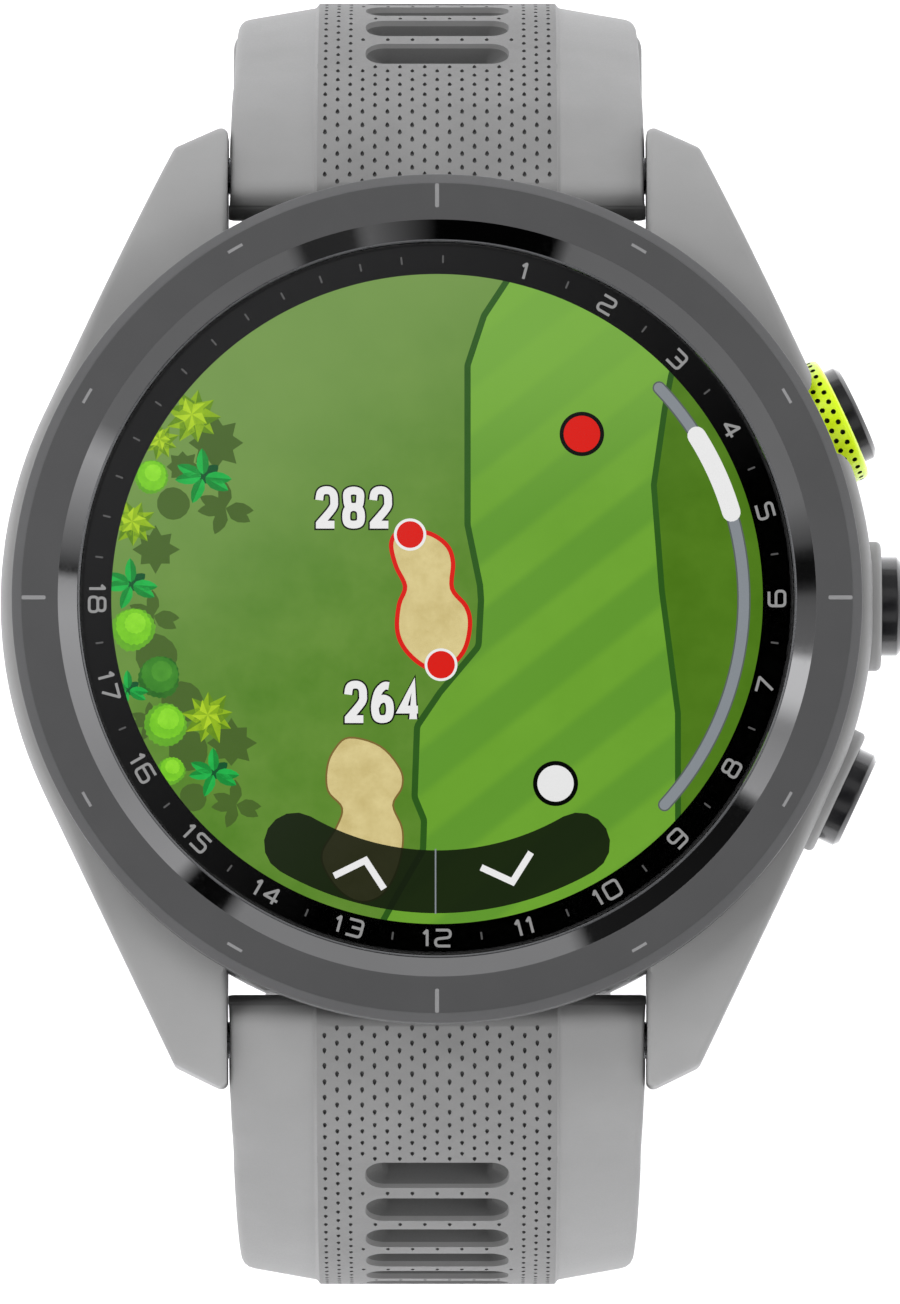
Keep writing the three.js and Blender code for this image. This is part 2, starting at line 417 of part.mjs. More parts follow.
// ---------- buckle ----------
add(buckleSide, "buckle_pin", cylX(0.7, -11.7, 11.7, end.y, end.z, 14), "steel");
{
  // planform in (u, x), swept through the thickness
  const arc = (cu, cx, r, a0, a1, n = 4) => Array.from({ length: n + 1 }, (_, i) => {
    const a = THREE.MathUtils.degToRad(a0 + ((a1 - a0) * i) / n);
    return [cu + r * Math.cos(a), cx + r * Math.sin(a)];
  });
  const outer = [...arc(10.6, 8.65, 3.2, 0, 90), ...arc(-0.4, 10.55, 1.3, 90, 180), [-1.7, 10.5], [8.4, 10.5], ...arc(8.4, 8.3, 2.2, 90, 0),
    ...arc(8.4, -8.3, 2.2, 0, -90), [-1.7, -10.5], ...arc(-0.4, -10.55, 1.3, 180, 270), ...arc(10.6, -8.65, 3.2, 270, 360)];
  const shape = new THREE.Shape(outer.map(([u, x]) => new THREE.Vector2(u, x)));
  const t = THREE.MathUtils.degToRad(BUCKLE_DEG);
  const m = new THREE.Matrix4().makeBasis(new THREE.Vector3(0, Math.cos(t), -Math.sin(t)), new THREE.Vector3(1, 0, 0), new THREE.Vector3(0, -Math.sin(t), -Math.cos(t)));
  m.setPosition(0, end.y + 1.15 * Math.sin(t), end.z + 1.15 * Math.cos(t));
  let f = solid(new THREE.ExtrudeGeometry(shape, { depth: 2.3, bevelEnabled: false, steps: 1 }), m);
  f = cut(f, cylX(0.76, -12.1, 12.1, end.y, end.z, 14));
  // the outer bar is hollowed on its inner face, where the strap passes
  f = cut(f, prismX([[10.75, -2], [13.9, -2], [13.9, -0.55], [10.75, -0.25]], -9.2, 9.2, end.y, end.z, BUCKLE_DEG));
  add(buckleSide, "buckle_frame", f, "steel");
  const eye = [];
  for (let i = 0; i <= 10; i++) { const a = THREE.MathUtils.degToRad(47 + i * 30); eye.push([1.45 * Math.cos(a), 1.45 * Math.sin(a)]); }
  const tongue = prismX([...eye, [2.0, 0.62], [3.4, 1.28], [13.5, 1.28], [13.7, 1.55], [13.3, 2.0], [11.0, 2.15], [3.7, 2.15]], -3.1, 3.1, end.y, end.z, BUCKLE_DEG);
  add(buckleSide, "buckle_tongue", cut(tongue, cylX(0.78, -4, 4, end.y, end.z, 14)), "steel");
}

// ---------- keepers ----------
function keeper(s, fit, wall) {
  const { y, z, deg } = bPath(s);
  const w = WIDTH.buckle(s) + fit;
  const outer = prismX([[-2.4, -2.6], [2.4, -2.6], [2.6, -2.4], [2.6, 5.1], [2.4, 5.3], [-2.4, 5.3], [-2.6, 5.1], [-2.6, -2.4]], -w - wall, w + wall, y, z, deg);
  return outer.subtract(prismX([[-4, -1.42], [4, -1.42], [4, 4.1], [-4, 4.1]], -w, w, y, z, deg));
}
add(buckleSide, "keeper_fixed", keeper(KEEPER_S.fixed, -0.3, 1.2), "strap"); // snaps into the strap's side recesses
add(buckleSide, "keeper_free", keeper(KEEPER_S.free, 0.45, 0.65), "strap");

export default watch;
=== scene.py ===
import bpy, bmesh, json, math
import numpy as np
from mathutils import Vector, Matrix
from mathutils.geometry import delaunay_2d_cdt


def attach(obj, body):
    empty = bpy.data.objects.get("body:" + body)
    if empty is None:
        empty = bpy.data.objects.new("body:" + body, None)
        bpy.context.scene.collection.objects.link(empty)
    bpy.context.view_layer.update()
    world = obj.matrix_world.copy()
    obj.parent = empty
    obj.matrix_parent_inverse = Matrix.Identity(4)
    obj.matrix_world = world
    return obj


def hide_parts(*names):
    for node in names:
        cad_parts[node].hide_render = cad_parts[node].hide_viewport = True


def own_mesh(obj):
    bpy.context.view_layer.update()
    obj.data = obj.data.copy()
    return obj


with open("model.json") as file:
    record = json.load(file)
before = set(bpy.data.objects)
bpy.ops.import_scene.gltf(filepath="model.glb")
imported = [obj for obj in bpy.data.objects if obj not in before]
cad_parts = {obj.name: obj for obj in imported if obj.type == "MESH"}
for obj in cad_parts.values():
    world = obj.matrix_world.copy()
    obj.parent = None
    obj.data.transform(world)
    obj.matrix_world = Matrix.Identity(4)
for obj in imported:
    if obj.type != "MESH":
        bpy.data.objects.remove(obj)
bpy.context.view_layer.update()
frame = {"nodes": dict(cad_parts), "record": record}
NODES = frame["nodes"]
MM = 0.001
rng = np.random.RandomState(7)


def srgb(r, g, b):
    f = lambda c: (c / 255) / 12.92 if c <= 10 else ((c / 255 + 0.055) / 1.055) ** 2.4
    return (f(r), f(g), f(b), 1.0)


def mesh_from(name, verts, faces, merge=0.0):
    me = bpy.data.meshes.new(name)
    me.from_pydata([tuple(c * MM for c in v) for v in verts], [], [tuple(int(i) for i in f) for f in faces])
    if merge:
        bm = bmesh.new()
        bm.from_mesh(me)
        bmesh.ops.remove_doubles(bm, verts=bm.verts, dist=merge * MM)
        bm.to_mesh(me)
        bm.free()
    me.validate()
    me.update()
    o = bpy.data.objects.new(name, me)
    bpy.context.scene.collection.objects.link(o)
    return o


def outward(o):
    bm = bmesh.new()
    bm.from_mesh(o.data)
    bmesh.ops.recalc_face_normals(bm, faces=bm.faces)
    bm.to_mesh(o.data)
    bm.free()


def smooth(o, angle=32):
    o.data.polygons.foreach_set("use_smooth", [True] * len(o.data.polygons))
    o.data.set_sharp_from_angle(angle=math.radians(angle))
    o.data.update()


def apply_all(o):
    dg = bpy.context.evaluated_depsgraph_get()
    me = bpy.data.meshes.new_from_object(o.evaluated_get(dg))
    o.modifiers.clear()
    old = o.data
    o.data = me
    me.name = o.name
    bpy.data.meshes.remove(old)


def boolean(o, cutter, op="DIFFERENCE", keep=False, solver="MANIFOLD"):
    m = o.modifiers.new("b", "BOOLEAN")
    m.operation, m.object = op, cutter
    m.solver = solver
    before, vb = len(o.data.polygons), len(o.data.vertices)
    if solver == "MANIFOLD":
        spare = o.data.copy()
    apply_all(o)
    if solver == "MANIFOLD":
        if len(o.data.polygons) == before and len(o.data.vertices) == vb:
            # the quick solver could not read this mesh: use the slower one
            o.data = spare
            m = o.modifiers.new("b", "BOOLEAN")
            m.operation, m.object, m.solver = op, cutter, "EXACT"
            apply_all(o)
        else:
            bpy.data.meshes.remove(spare)
    if len(o.data.polygons) == 0:
        raise RuntimeError(f"boolean on {o.name} left nothing ({before} faces before)")
    if not keep:
        bpy.data.objects.remove(cutter)


def bevel(o, width, segments=2, angle=30):
    m = o.modifiers.new("v", "BEVEL")
    m.width, m.segments, m.limit_method, m.angle_limit = width * MM, segments, "ANGLE", math.radians(angle)
    m.use_clamp_overlap = True
    m.harden_normals = False
    apply_all(o)


def piece(o, mat, body, slot, *replaces, angle=32, do_smooth=True):
    mats = mat if isinstance(mat, (list, tuple)) else [mat]
    if do_smooth:
        smooth(o, angle)
    while len(o.data.materials) < len(mats):
        o.data.materials.append(None)
    for i, m in enumerate(mats):
        o.data.materials[i] = m
    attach(o, body)
    if replaces:
        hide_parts(*replaces)
    return o


def lathe(name, profile, seg=192, centre=(0, 0), mats=None):
    """Closed [r, z] profile turned about Z. mats gives a material index for each profile edge."""
    prof = [tuple(map(float, p)) for p in profile]
    closed = prof[0][0] > 1e-9 or prof[-1][0] > 1e-9
    n = len(prof)
    verts, ring = [], []
    for r, z in prof:
        if r < 1e-9:
            ring.append([len(verts)])
            verts.append((centre[0], centre[1], z))
        else:
            ring.append(list(range(len(verts), len(verts) + seg)))
            for k in range(seg):
                a = 2 * math.pi * k / seg
                verts.append((centre[0] + r * math.cos(a), centre[1] + r * math.sin(a), z))
    faces, idx = [], []
    for i in range(n if closed else n - 1):
        a, b = ring[i], ring[(i + 1) % n]
        for k in range(seg):
            k2 = (k + 1) % seg
            if len(a) == 1 and len(b) == 1:
                break
            if len(a) == 1:
                faces.append((a[0], b[k2], b[k]))
            elif len(b) == 1:
                faces.append((a[k], a[k2], b[0]))
            else:
                faces.append((a[k], a[k2], b[k2], b[k]))
            idx.append(mats[i] if mats else 0)
    o = mesh_from(name, verts, faces)
    if mats:
        for _ in range(max(mats) + 1):
            o.data.materials.append(None)
        o.data.polygons.foreach_set("material_index", idx)
    outward(o)
    return o


def rounded(profile, radii, n=4):
    """Rounds the corners of a closed 2-D profile: radii by corner, 0 keeps it sharp."""
    out, m = [], len(profile)
    for i, p in enumerate(profile):
        r = radii[i] if isinstance(radii, (list, tuple)) else radii
        p = np.array(p, float)
        if r <= 0:
            out.append(tuple(p))
            continue
        a, b = np.array(profile[i - 1], float) - p, np.array(profile[(i + 1) % m], float) - p
        la, lb = np.linalg.norm(a), np.linalg.norm(b)
        a, b = a / la, b / lb
        ang = math.acos(max(-1, min(1, float(a @ b))))
        if ang > math.pi - 0.02:
            out.append(tuple(p))
            continue
        t = min(r / math.tan(ang / 2), la * 0.48, lb * 0.48)
        rr = t * math.tan(ang / 2)
        c = p + (a + b) / np.linalg.norm(a + b) * (rr / math.sin(ang / 2))
        s, e = p + a * t - c, p + b * t - c
        w = math.acos(max(-1, min(1, float(s @ e) / (rr * rr))))
        for k in range(n + 1):
            f = k / n
            v = (math.sin((1 - f) * w) * s + math.sin(f * w) * e) / math.sin(w)
            out.append(tuple(c + v))
    return out


def prism(name, pts, z0, z1):
    """Polygon in X and Y between two heights."""
    n = len(pts)
    v = [(x, y, z0) for x, y in pts] + [(x, y, z1) for x, y in pts]
    f = [tuple(range(n))[::-1], tuple(range(n, 2 * n))] + [(i, (i + 1) % n, n + (i + 1) % n, n + i) for i in range(n)]
    o = mesh_from(name, v, f)
    outward(o)
    return o


def cylinder(name, r, h0, h1, axis, origin=(0, 0, 0), seg=48):
    o = prism(name, [(r * math.cos(2 * math.pi * k / seg), r * math.sin(2 * math.pi * k / seg)) for k in range(seg)], h0, h1)
    q = Vector((0, 0, 1)).rotation_difference(Vector(axis))
    o.data.transform(Matrix.Translation(Vector(origin) * MM) @ q.to_matrix().to_4x4())
    return o


def turn_to(o, axis, origin):
    """A piece made along Z is stood along another axis."""
    q = Vector((0, 0, 1)).rotation_difference(Vector(axis))
    o.data.transform(Matrix.Translation(Vector(origin) * MM) @ q.to_matrix().to_4x4())
    return o


def frame_uv(y, z, deg):
    t = math.radians(deg)
    m = Matrix(((1, 0, 0, 0), (0, math.cos(t), math.sin(t), y * MM), (0, -math.sin(t), math.cos(t), z * MM), (0, 0, 0, 1)))
    return m  # local x stays X, local y runs along the strap, local z is its outer normal


def copy_cad(name, node, width=0.08, segments=2, angle=30):
    o = bpy.data.objects.new(name, NODES[node].data.copy())
    bpy.context.scene.collection.objects.link(o)
    o.data.materials.clear()
    bm = bmesh.new()
    bm.from_mesh(o.data)
    bmesh.ops.remove_doubles(bm, verts=bm.verts, dist=2e-6)
    bmesh.ops.dissolve_limit(bm, angle_limit=math.radians(1.5), verts=bm.verts, edges=bm.edges)
    bm.to_mesh(o.data)
    bm.free()
    if width:
        bevel(o, width, segments, angle)
    return o


# ------------------------------------------------------------------ materials
def nodes_of(name):
    m = bpy.data.materials.new(name)
    m.use_nodes = True
    nt = m.node_tree
    b = nt.nodes["Principled BSDF"]
    return m, nt, b


def tex_noise(nt, scale, detail=3.0, rough=0.55, stretch=None, loc=(0, 0, 0)):
    tc = nt.nodes.new("ShaderNodeTexCoord")
    mp = nt.nodes.new("ShaderNodeMapping")
    mp.inputs["Location"].default_value = loc
    if stretch:
        mp.inputs["Scale"].default_value = stretch
    nt.links.new(tc.outputs["Object"], mp.inputs["Vector"])
    n = nt.nodes.new("ShaderNodeTexNoise")
    n.inputs["Scale"].default_value = scale
    n.inputs["Detail"].default_value = detail
    n.inputs["Roughness"].default_value = rough
    nt.links.new(mp.outputs["Vector"], n.inputs["Vector"])
    return n


def ramp_between(nt, fac, c0, c1, lo=0.35, hi=0.65):
    r = nt.nodes.new("ShaderNodeValToRGB")
    r.color_ramp.elements[0].position, r.color_ramp.elements[1].position = lo, hi
    r.color_ramp.elements[0].color, r.color_ramp.elements[1].color = c0, c1
    nt.links.new(fac, r.inputs["Fac"])
    return r


def shade(c, k):
    return (min(1, c[0] * k), min(1, c[1] * k), min(1, c[2] * k), 1.0)


def pbr(name, col, rough=0.5, metal=0.0, var=0.06, var_scale=180, rough_var=0.06, grain=9000, bump=0.06, bump_mm=0.004,
        coat=0.0, coat_rough=0.05, spec=0.5, sheen=0.0, stretch=None, aniso=0.0):
    m, nt, b = nodes_of(name)
    n = tex_noise(nt, var_scale, 4.0)
    r = ramp_between(nt, n.outputs["Fac"], shade(col, 1 - var), shade(col, 1 + var))
    nt.links.new(r.outputs["Color"], b.inputs["Base Color"])
    g = tex_noise(nt, grain, 2.0, stretch=stretch)
    mr = nt.nodes.new("ShaderNodeMapRange")
    mr.inputs["From Min"].default_value, mr.inputs["From Max"].default_value = 0.3, 0.7
    mr.inputs["To Min"].default_value, mr.inputs["To Max"].default_value = max(0.02, rough - rough_var), min(1, rough + rough_var)
    nt.links.new(g.outputs["Fac"], mr.inputs["Value"])
    nt.links.new(mr.outputs["Result"], b.inputs["Roughness"])
    if bump:
        bp = nt.nodes.new("ShaderNodeBump")
        bp.inputs["Strength"].default_value = bump
        bp.inputs["Distance"].default_value = bump_mm * MM
        nt.links.new(g.outputs["Fac"], bp.inputs["Height"])
        nt.links.new(bp.outputs["Normal"], b.inputs["Normal"])
    b.inputs["Metallic"].default_value = metal
    b.inputs["Coat Weight"].default_value = coat
    b.inputs["Coat Roughness"].default_value = coat_rough
    b.inputs["Specular IOR Level"].default_value = spec
    b.inputs["Sheen Weight"].default_value = sheen
    b.inputs["Anisotropic"].default_value = aniso
    return m


def lit(name, col, strength=1.0, var=0.0, var_scale=300, col2=None, rough=0.25, alpha=1.0, stripes=None, gradient=None):
    """A part that gives off its colour, with a soft mottling: the display's lit parts, and the printed dial figures and
    ticks, whose glow is painted light.
    """
    m, nt, b = nodes_of(name)
    b.inputs["Base Color"].default_value = (0.0, 0.0, 0.0, 1)
    b.inputs["Specular IOR Level"].default_value = 0.0
    b.inputs["Emission Strength"].default_value = strength
    b.inputs["Roughness"].default_value = rough
    b.inputs["Alpha"].default_value = alpha
    n = tex_noise(nt, var_scale, 4.0, 0.6)
    c0, c1 = (shade(col, 1 - var), shade(col, 1 + var)) if col2 is None else (col, col2)
    r = ramp_between(nt, n.outputs["Fac"], c0, c1, 0.3, 0.7)
    out = r.outputs["Color"]
    if stripes or gradient:
        tc = nt.nodes.new("ShaderNodeTexCoord")
        for kind in (stripes, gradient):
            if not kind:
                continue
            direction, k, colour, soft = kind
            dot = nt.nodes.new("ShaderNodeVectorMath")
            dot.operation = "DOT_PRODUCT"
            dot.inputs[1].default_value = (direction[0], direction[1], 0)
            nt.links.new(tc.outputs["Object"], dot.inputs[0])
            mr = nt.nodes.new("ShaderNodeMapRange")
            mr.interpolation_type = "SMOOTHSTEP"
            if kind is stripes:
                mul = nt.nodes.new("ShaderNodeMath")
                mul.operation = "MULTIPLY"
                mul.inputs[1].default_value = 2 * math.pi / (k * MM)
                nt.links.new(dot.outputs["Value"], mul.inputs[0])
                sn = nt.nodes.new("ShaderNodeMath")
                sn.operation = "SINE"
                nt.links.new(mul.outputs[0], sn.inputs[0])
                mr.inputs["From Min"].default_value, mr.inputs["From Max"].default_value = -soft, soft
                nt.links.new(sn.outputs[0], mr.inputs["Value"])
            else:
                mr.inputs["From Min"].default_value, mr.inputs["From Max"].default_value = k[0] * MM, k[1] * MM
                nt.links.new(dot.outputs["Value"], mr.inputs["Value"])
            mx = nt.nodes.new("ShaderNodeMix")
            mx.data_type = "RGBA"
            mx.inputs[7].default_value = colour
            nt.links.new(out, mx.inputs[6])
            scale = nt.nodes.new("ShaderNodeMath")
            scale.operation = "MULTIPLY"
            scale.inputs[1].default_value = 0.75 if kind is stripes else soft
            nt.links.new(mr.outputs["Result"], scale.inputs[0])
            nt.links.new(scale.outputs[0], mx.inputs[0])
            out = mx.outputs[2]
    nt.links.new(out, b.inputs["Emission Color"])
    return m


M = {
    "case": pbr("case_polymer", srgb(124, 124, 124), 0.5, var=0.03, grain=7000, bump=0.10, bump_mm=0.004),
    "bezel": pbr("bezel_matte", srgb(90, 90, 91), 0.40, metal=0.65, var=0.04, grain=9000, bump=0.05, bump_mm=0.002),
    "polish": pbr("bezel_polished", srgb(222, 222, 224), 0.05, metal=1.0, var=0.02, rough_var=0.02, grain=4000, bump=0.0),
    "mark": pbr("bezel_mark", srgb(118, 118, 119), 0.5, metal=0.2, var=0.04, grain=8000),
    "print": pbr("lens_print_black", srgb(3, 3, 3), 0.7, var=0.1, rough_var=0.02, grain=5000, bump=0.0, spec=0.04),
    # the printed dial figures and ticks give off their colour: painted light, glowing though they are only print
    "figure": lit("dial_figure_glow", srgb(186, 186, 186), 0.62, var=0.05),
    "figure_dim_glow": lit("dial_tick_glow", srgb(120, 120, 120), 0.5, var=0.05),
    "button": pbr("button_black", srgb(20, 20, 22), 0.22, var=0.1, rough_var=0.05, grain=6000, bump=0.02, coat=0.6, coat_rough=0.12),
    "lime": pbr("collar_lime", srgb(196, 226, 18), 0.22, var=0.05, grain=5000, bump=0.02, coat=0.5, coat_rough=0.08),
    # dark olive inside the collar's small holes: painted shade in the holes, the collar being lime throughout
    "hole": pbr("collar_hole_shade", srgb(52, 62, 6), 0.6, var=0.1, grain=6000),
    "strap": pbr("strap_silicone", srgb(120, 120, 120), 0.62, var=0.03, var_scale=260, grain=11000, bump=0.16, bump_mm=0.004, sheen=0.08),
    "panel": pbr("strap_silicone_textured", srgb(108, 108, 108), 0.66, var=0.04, var_scale=300, grain=9000, bump=0.2, bump_mm=0.006),
    # darker silicone for the deep slot walls: painted shade inside the slots
    "slotwall_shade": pbr("strap_silicone_slot_shade", srgb(80, 80, 80), 0.7, var=0.05, grain=9000, bump=0.1),
    # darker silicone for the dimples' insides: painted shade in the recesses, the strap being one colour
    "pit_shade": pbr("strap_silicone_pit_shade", srgb(64, 64, 64), 0.8, var=0.05, grain=9000, bump=0.1),
    "steel": pbr("steel", srgb(176, 177, 180), 0.28, metal=1.0, var=0.04, grain=3000, stretch=(0.12, 1, 1), bump=0.05, bump_mm=0.002),
    "dark_steel": pbr("dark_steel", srgb(96, 97, 100), 0.3, metal=1.0, var=0.05, grain=2600, stretch=(0.1, 1, 1), bump=0.06, bump_mm=0.002),
    "back": pbr("back_plastic", srgb(50, 50, 52), 0.5, var=0.05, grain=8000, bump=0.10, bump_mm=0.004),
    "sensor": pbr("sensor_lens", srgb(10, 10, 12), 0.06, var=0.1, rough_var=0.02, grain=3000, bump=0.0, coat=1.0, coat_rough=0.02),
    "eye": pbr("sensor_eye", srgb(34, 30, 46), 0.1, var=0.15, var_scale=900, grain=3000, bump=0.0, coat=1.0, coat_rough=0.02),
    "led": pbr("led_green", srgb(46, 150, 84), 0.15, var=0.1, var_scale=1500, grain=3000, bump=0.0, coat=1.0),
    "gold": pbr("gold_contact", srgb(214, 170, 92), 0.2, metal=1.0, var=0.04, grain=4000, bump=0.02),
    "rubber": pbr("black_rubber", srgb(28, 28, 29), 0.75, var=0.06, grain=7000, bump=0.12),
    "inner": pbr("inner_plastic", srgb(42, 42, 44), 0.6, var=0.06, grain=7000, bump=0.1),
    "board": pbr("circuit_board", srgb(24, 92, 62), 0.45, var=0.25, var_scale=700, grain=4000, bump=0.05),
    "shield": pbr("shield_can", srgb(186, 188, 190), 0.35, metal=0.9, var=0.05, grain=3000, stretch=(1, 0.1, 1), bump=0.05),
    "cell": pbr("cell_foil", srgb(150, 153, 158), 0.4, metal=0.4, var=0.1, var_scale=500, grain=2500, bump=0.15, bump_mm=0.01),
    "copper": pbr("copper", srgb(196, 130, 92), 0.3, metal=1.0, var=0.06, grain=4000, bump=0.04),
}
SLOT_MAT = {"case_polymer": "case", "bezel_metal": "bezel", "lens": "print", "display": "print", "black_rubber": "rubber", "inner_plastic": "inner",
            "circuit_board": "board", "shield_steel": "shield", "cell_foil": "cell", "copper": "copper", "gold_contact": "gold", "back_plastic": "back",
            "sensor_lens": "sensor", "led": "led", "steel": "steel", "dark_steel": "dark_steel", "button_black": "button", "lime_plastic": "lime",
            "strap_silicone": "strap"}
SLOT_OF = {s["node"]: s["material_slot"] for s in frame["record"]["subparts"]}
for n, o in NODES.items():
    mat = M[SLOT_MAT[SLOT_OF[n]]]
    for i in range(len(o.data.materials)):
        o.data.materials[i] = mat
    if not o.data.materials:
        o.data.materials.append(mat)

glass_mat, nt, b = nodes_of("lens_glass")
gn = tex_noise(nt, 60, 1.0)
gr = nt.nodes.new("ShaderNodeMapRange")
gr.inputs["To Min"].default_value, gr.inputs["To Max"].default_value = 0.0, 0.012
nt.links.new(gn.outputs["Fac"], gr.inputs["Value"])
nt.links.new(gr.outputs["Result"], b.inputs["Roughness"])
b.inputs["Base Color"].default_value = (1, 1, 1, 1)
b.inputs["Transmission Weight"].default_value = 1.0
b.inputs["IOR"].default_value = 1.45


# ------------------------------------------------------------------ the case
R_CASE, GAP, NOTCH_Y = 23.7, 11.4, 20.9
PIN_Y, PIN_Z, BTN_Z = 23.6, 5.2, 6.3
BTN = {"upper": 25, "middle": 0, "lower": -25}


def arc(r, a0, a1, step=1.5):
    n = max(1, int(round(abs(a1 - a0) / step)))
    return [(r * math.cos(math.radians(a0 + (a1 - a0) * k / n)), r * math.sin(math.radians(a0 + (a1 - a0) * k / n))) for k in range(n + 1)]


def dense(pts, step):
    out = []
    for (x0, y0), (x1, y1) in zip(pts, pts[1:] + pts[:1]):
        n = max(1, int(math.ceil(math.hypot(x1 - x0, y1 - y0) / step)))
        out += [(x0 + (x1 - x0) * k / n, y0 + (y1 - y0) * k / n) for k in range(n)]
    return out


a_l = 25.7
quad = arc(R_CASE, 0, a_l)
corner = rounded([quad[-1], (14.3, 24.97), (GAP, 26.4), (GAP, 19.86)], [0, 0.6, 0.4, 0], 6)
quad += corner[1:-1] + [(GAP, 19.86)] + arc(22.9, math.degrees(math.atan2(19.86, GAP)), 90)[1:]
half = quad + [(-x, y) for x, y in quad[::-1][1:]]
loop = half + [(x, -y) for x, y in half[::-1][1:-1]]
outline = np.array(dense(loop, 0.4))


def curve(pts):
    x, y = np.array(pts).T
    xs = np.linspace(x[0], x[-1], 800)
    ys = np.interp(xs, x, y)
    k = np.hanning(61)
    k /= k.sum()
    ys = np.convolve(np.pad(ys, 30, mode="edge"), k, "valid")
    return lambda v: np.interp(v, xs, ys)


case_top = curve([(0, 10.6), (17.4, 10.6), (19.6, 10.4), (21.2, 9.98), (22.8, 9.3), (24.2, 8.4), (25.4, 7.35), (26.4, 6.2), (27, 5.4)])
case_bot = curve([(0, 1.8), (17, 1.8), (20, 1.6), (22.8, 1.15), (25.0, 0.95), (26, 1.15), (27, 2.0)])


def inside(poly, pts):
    x, y = pts[:, 0][:, None], pts[:, 1][:, None]
    x0, y0 = poly[:, 0], poly[:, 1]
    x1, y1 = np.roll(x0, -1), np.roll(y0, -1)
    with np.errstate(divide="ignore", invalid="ignore"):
        hit = ((y0 > y) != (y1 > y)) & (x < (x1 - x0) * (y - y0) / (y1 - y0) + x0)
    return hit.sum(1) % 2 == 1


def distance(poly, pts):
    a, b = poly, np.roll(poly, -1, 0)
    d = b - a
    L = (d ** 2).sum(1)
    best = np.full(len(pts), 1e9)
    for s in range(0, len(pts), 2000):
        p = pts[s:s + 2000, None, :]
        t = np.clip(((p - a) * d).sum(2) / np.maximum(L, 1e-12), 0, 1)
        q = a + t[..., None] * d
        best[s:s + 2000] = np.sqrt(((p - q) ** 2).sum(2)).min(1)
    return best


def make_case():
    hole = np.array(arc(19.5, 0, 360, 1.5)[:-1])
    tang = np.roll(outline, -1, 0) - np.roll(outline, 1, 0)
    nrm = np.stack([-tang[:, 1], tang[:, 0]], 1)
    nrm /= np.linalg.norm(nrm, axis=1)[:, None]
    rings = [outline]
    extra = []
    for d in (0.03, 0.09, 0.17, 0.27, 0.4, 0.56, 0.8):
        p = outline + nrm * d
        ok = np.abs(distance(outline, p) - d) < 0.02 * d + 0.002
        extra.append(p[ok])
    g = np.arange(-27, 27.01, 0.75)
    gx, gy = np.meshgrid(g, g)
    gx[::2] += 0.375
    gp = np.stack([gx.ravel(), gy.ravel()], 1)
    gp = gp[(np.hypot(gp[:, 0], gp[:, 1]) > 19.9)]
    gp = gp[inside(outline, gp)]
    gp = gp[distance(outline, gp) > 1.1]
    pts = np.vstack([outline, hole] + extra + [gp])
    no, nh = len(outline), len(hole)
    edges = [(i, (i + 1) % no) for i in range(no)] + [(no + i, no + (i + 1) % nh) for i in range(nh)]
    vs, es, fs, ov, oe, of = delaunay_2d_cdt([Vector(p) for p in pts], edges, [], 0, 1e-5)
    P = np.array([tuple(v) for v in vs])
    T = np.array([f for f in fs if len(f) == 3])
    cen = P[T].mean(1)
    T = T[inside(outline, cen) & (np.hypot(cen[:, 0], cen[:, 1]) > 19.45)]
    # keep only triangles well inside the hole loop's outside
    T = T[~inside(hole, cen[inside(outline, cen) & (np.hypot(cen[:, 0], cen[:, 1]) > 19.45)])]
    back = {}
    for new, olds in enumerate(ov):
        for q in olds:
            back[q] = new
    d = distance(outline, P)
    d[np.hypot(P[:, 0], P[:, 1]) < 21.5] = 9
    ay = np.abs(P[:, 1])
    w = np.clip((ay - 11) / 6, 0, 1)
    w = w * w * (3 - 2 * w)
    rh, rv = 0.62 * (1 - w) + 0.34 * w, 1.15 * (1 - w) + 0.36 * w
    bh, bv = 0.8 * (1 - w) + 0.42 * w, 1.3 * (1 - w) + 0.45 * w
    drop = lambda h, v: np.where(d < h, v * (1 - np.sqrt(np.clip(1 - ((h - d) / h) ** 2, 0, 1))), 0)
    zt, zb = case_top(ay) - drop(rh, rv), case_bot(ay) + drop(bh, bv)
    n = len(P)
    verts = [(x, y, z) for (x, y), z in zip(P, zt)] + [(x, y, z) for (x, y), z in zip(P, zb)]
    faces = [tuple(t) for t in T] + [tuple(n + i for i in t[::-1]) for t in T]
    for lo, cnt in ((0, no), (no, nh)):
        chain = [back[lo + i] for i in range(cnt)]
        rows = 4
        levels = [chain]
        for k in range(1, rows):
            row = []
            for i in chain:
                f = k / rows
                row.append(len(verts))
                verts.append((P[i][0], P[i][1], zt[i] * (1 - f) + zb[i] * f))
            levels.append(row)
        levels.append([n + i for i in chain])
        for A, B in zip(levels, levels[1:]):
            for i in range(cnt):
                j = (i + 1) % cnt
                faces.append((A[i], A[j], B[j], B[i]))
    o = mesh_from("case_shell", verts, faces)
    bm = bmesh.new()
    bm.from_mesh(o.data)
    loose = [v for v in bm.verts if not v.link_faces]
    bmesh.ops.delete(bm, geom=loose, context="VERTS")
    bmesh.ops.recalc_face_normals(bm, faces=bm.faces)
    bad = [e for e in bm.edges if len(e.link_faces) != 2]
    print("case shell: faces", len(bm.faces), "open edges", len(bad), flush=True)
    bm.to_mesh(o.data)
    bm.free()
    return o


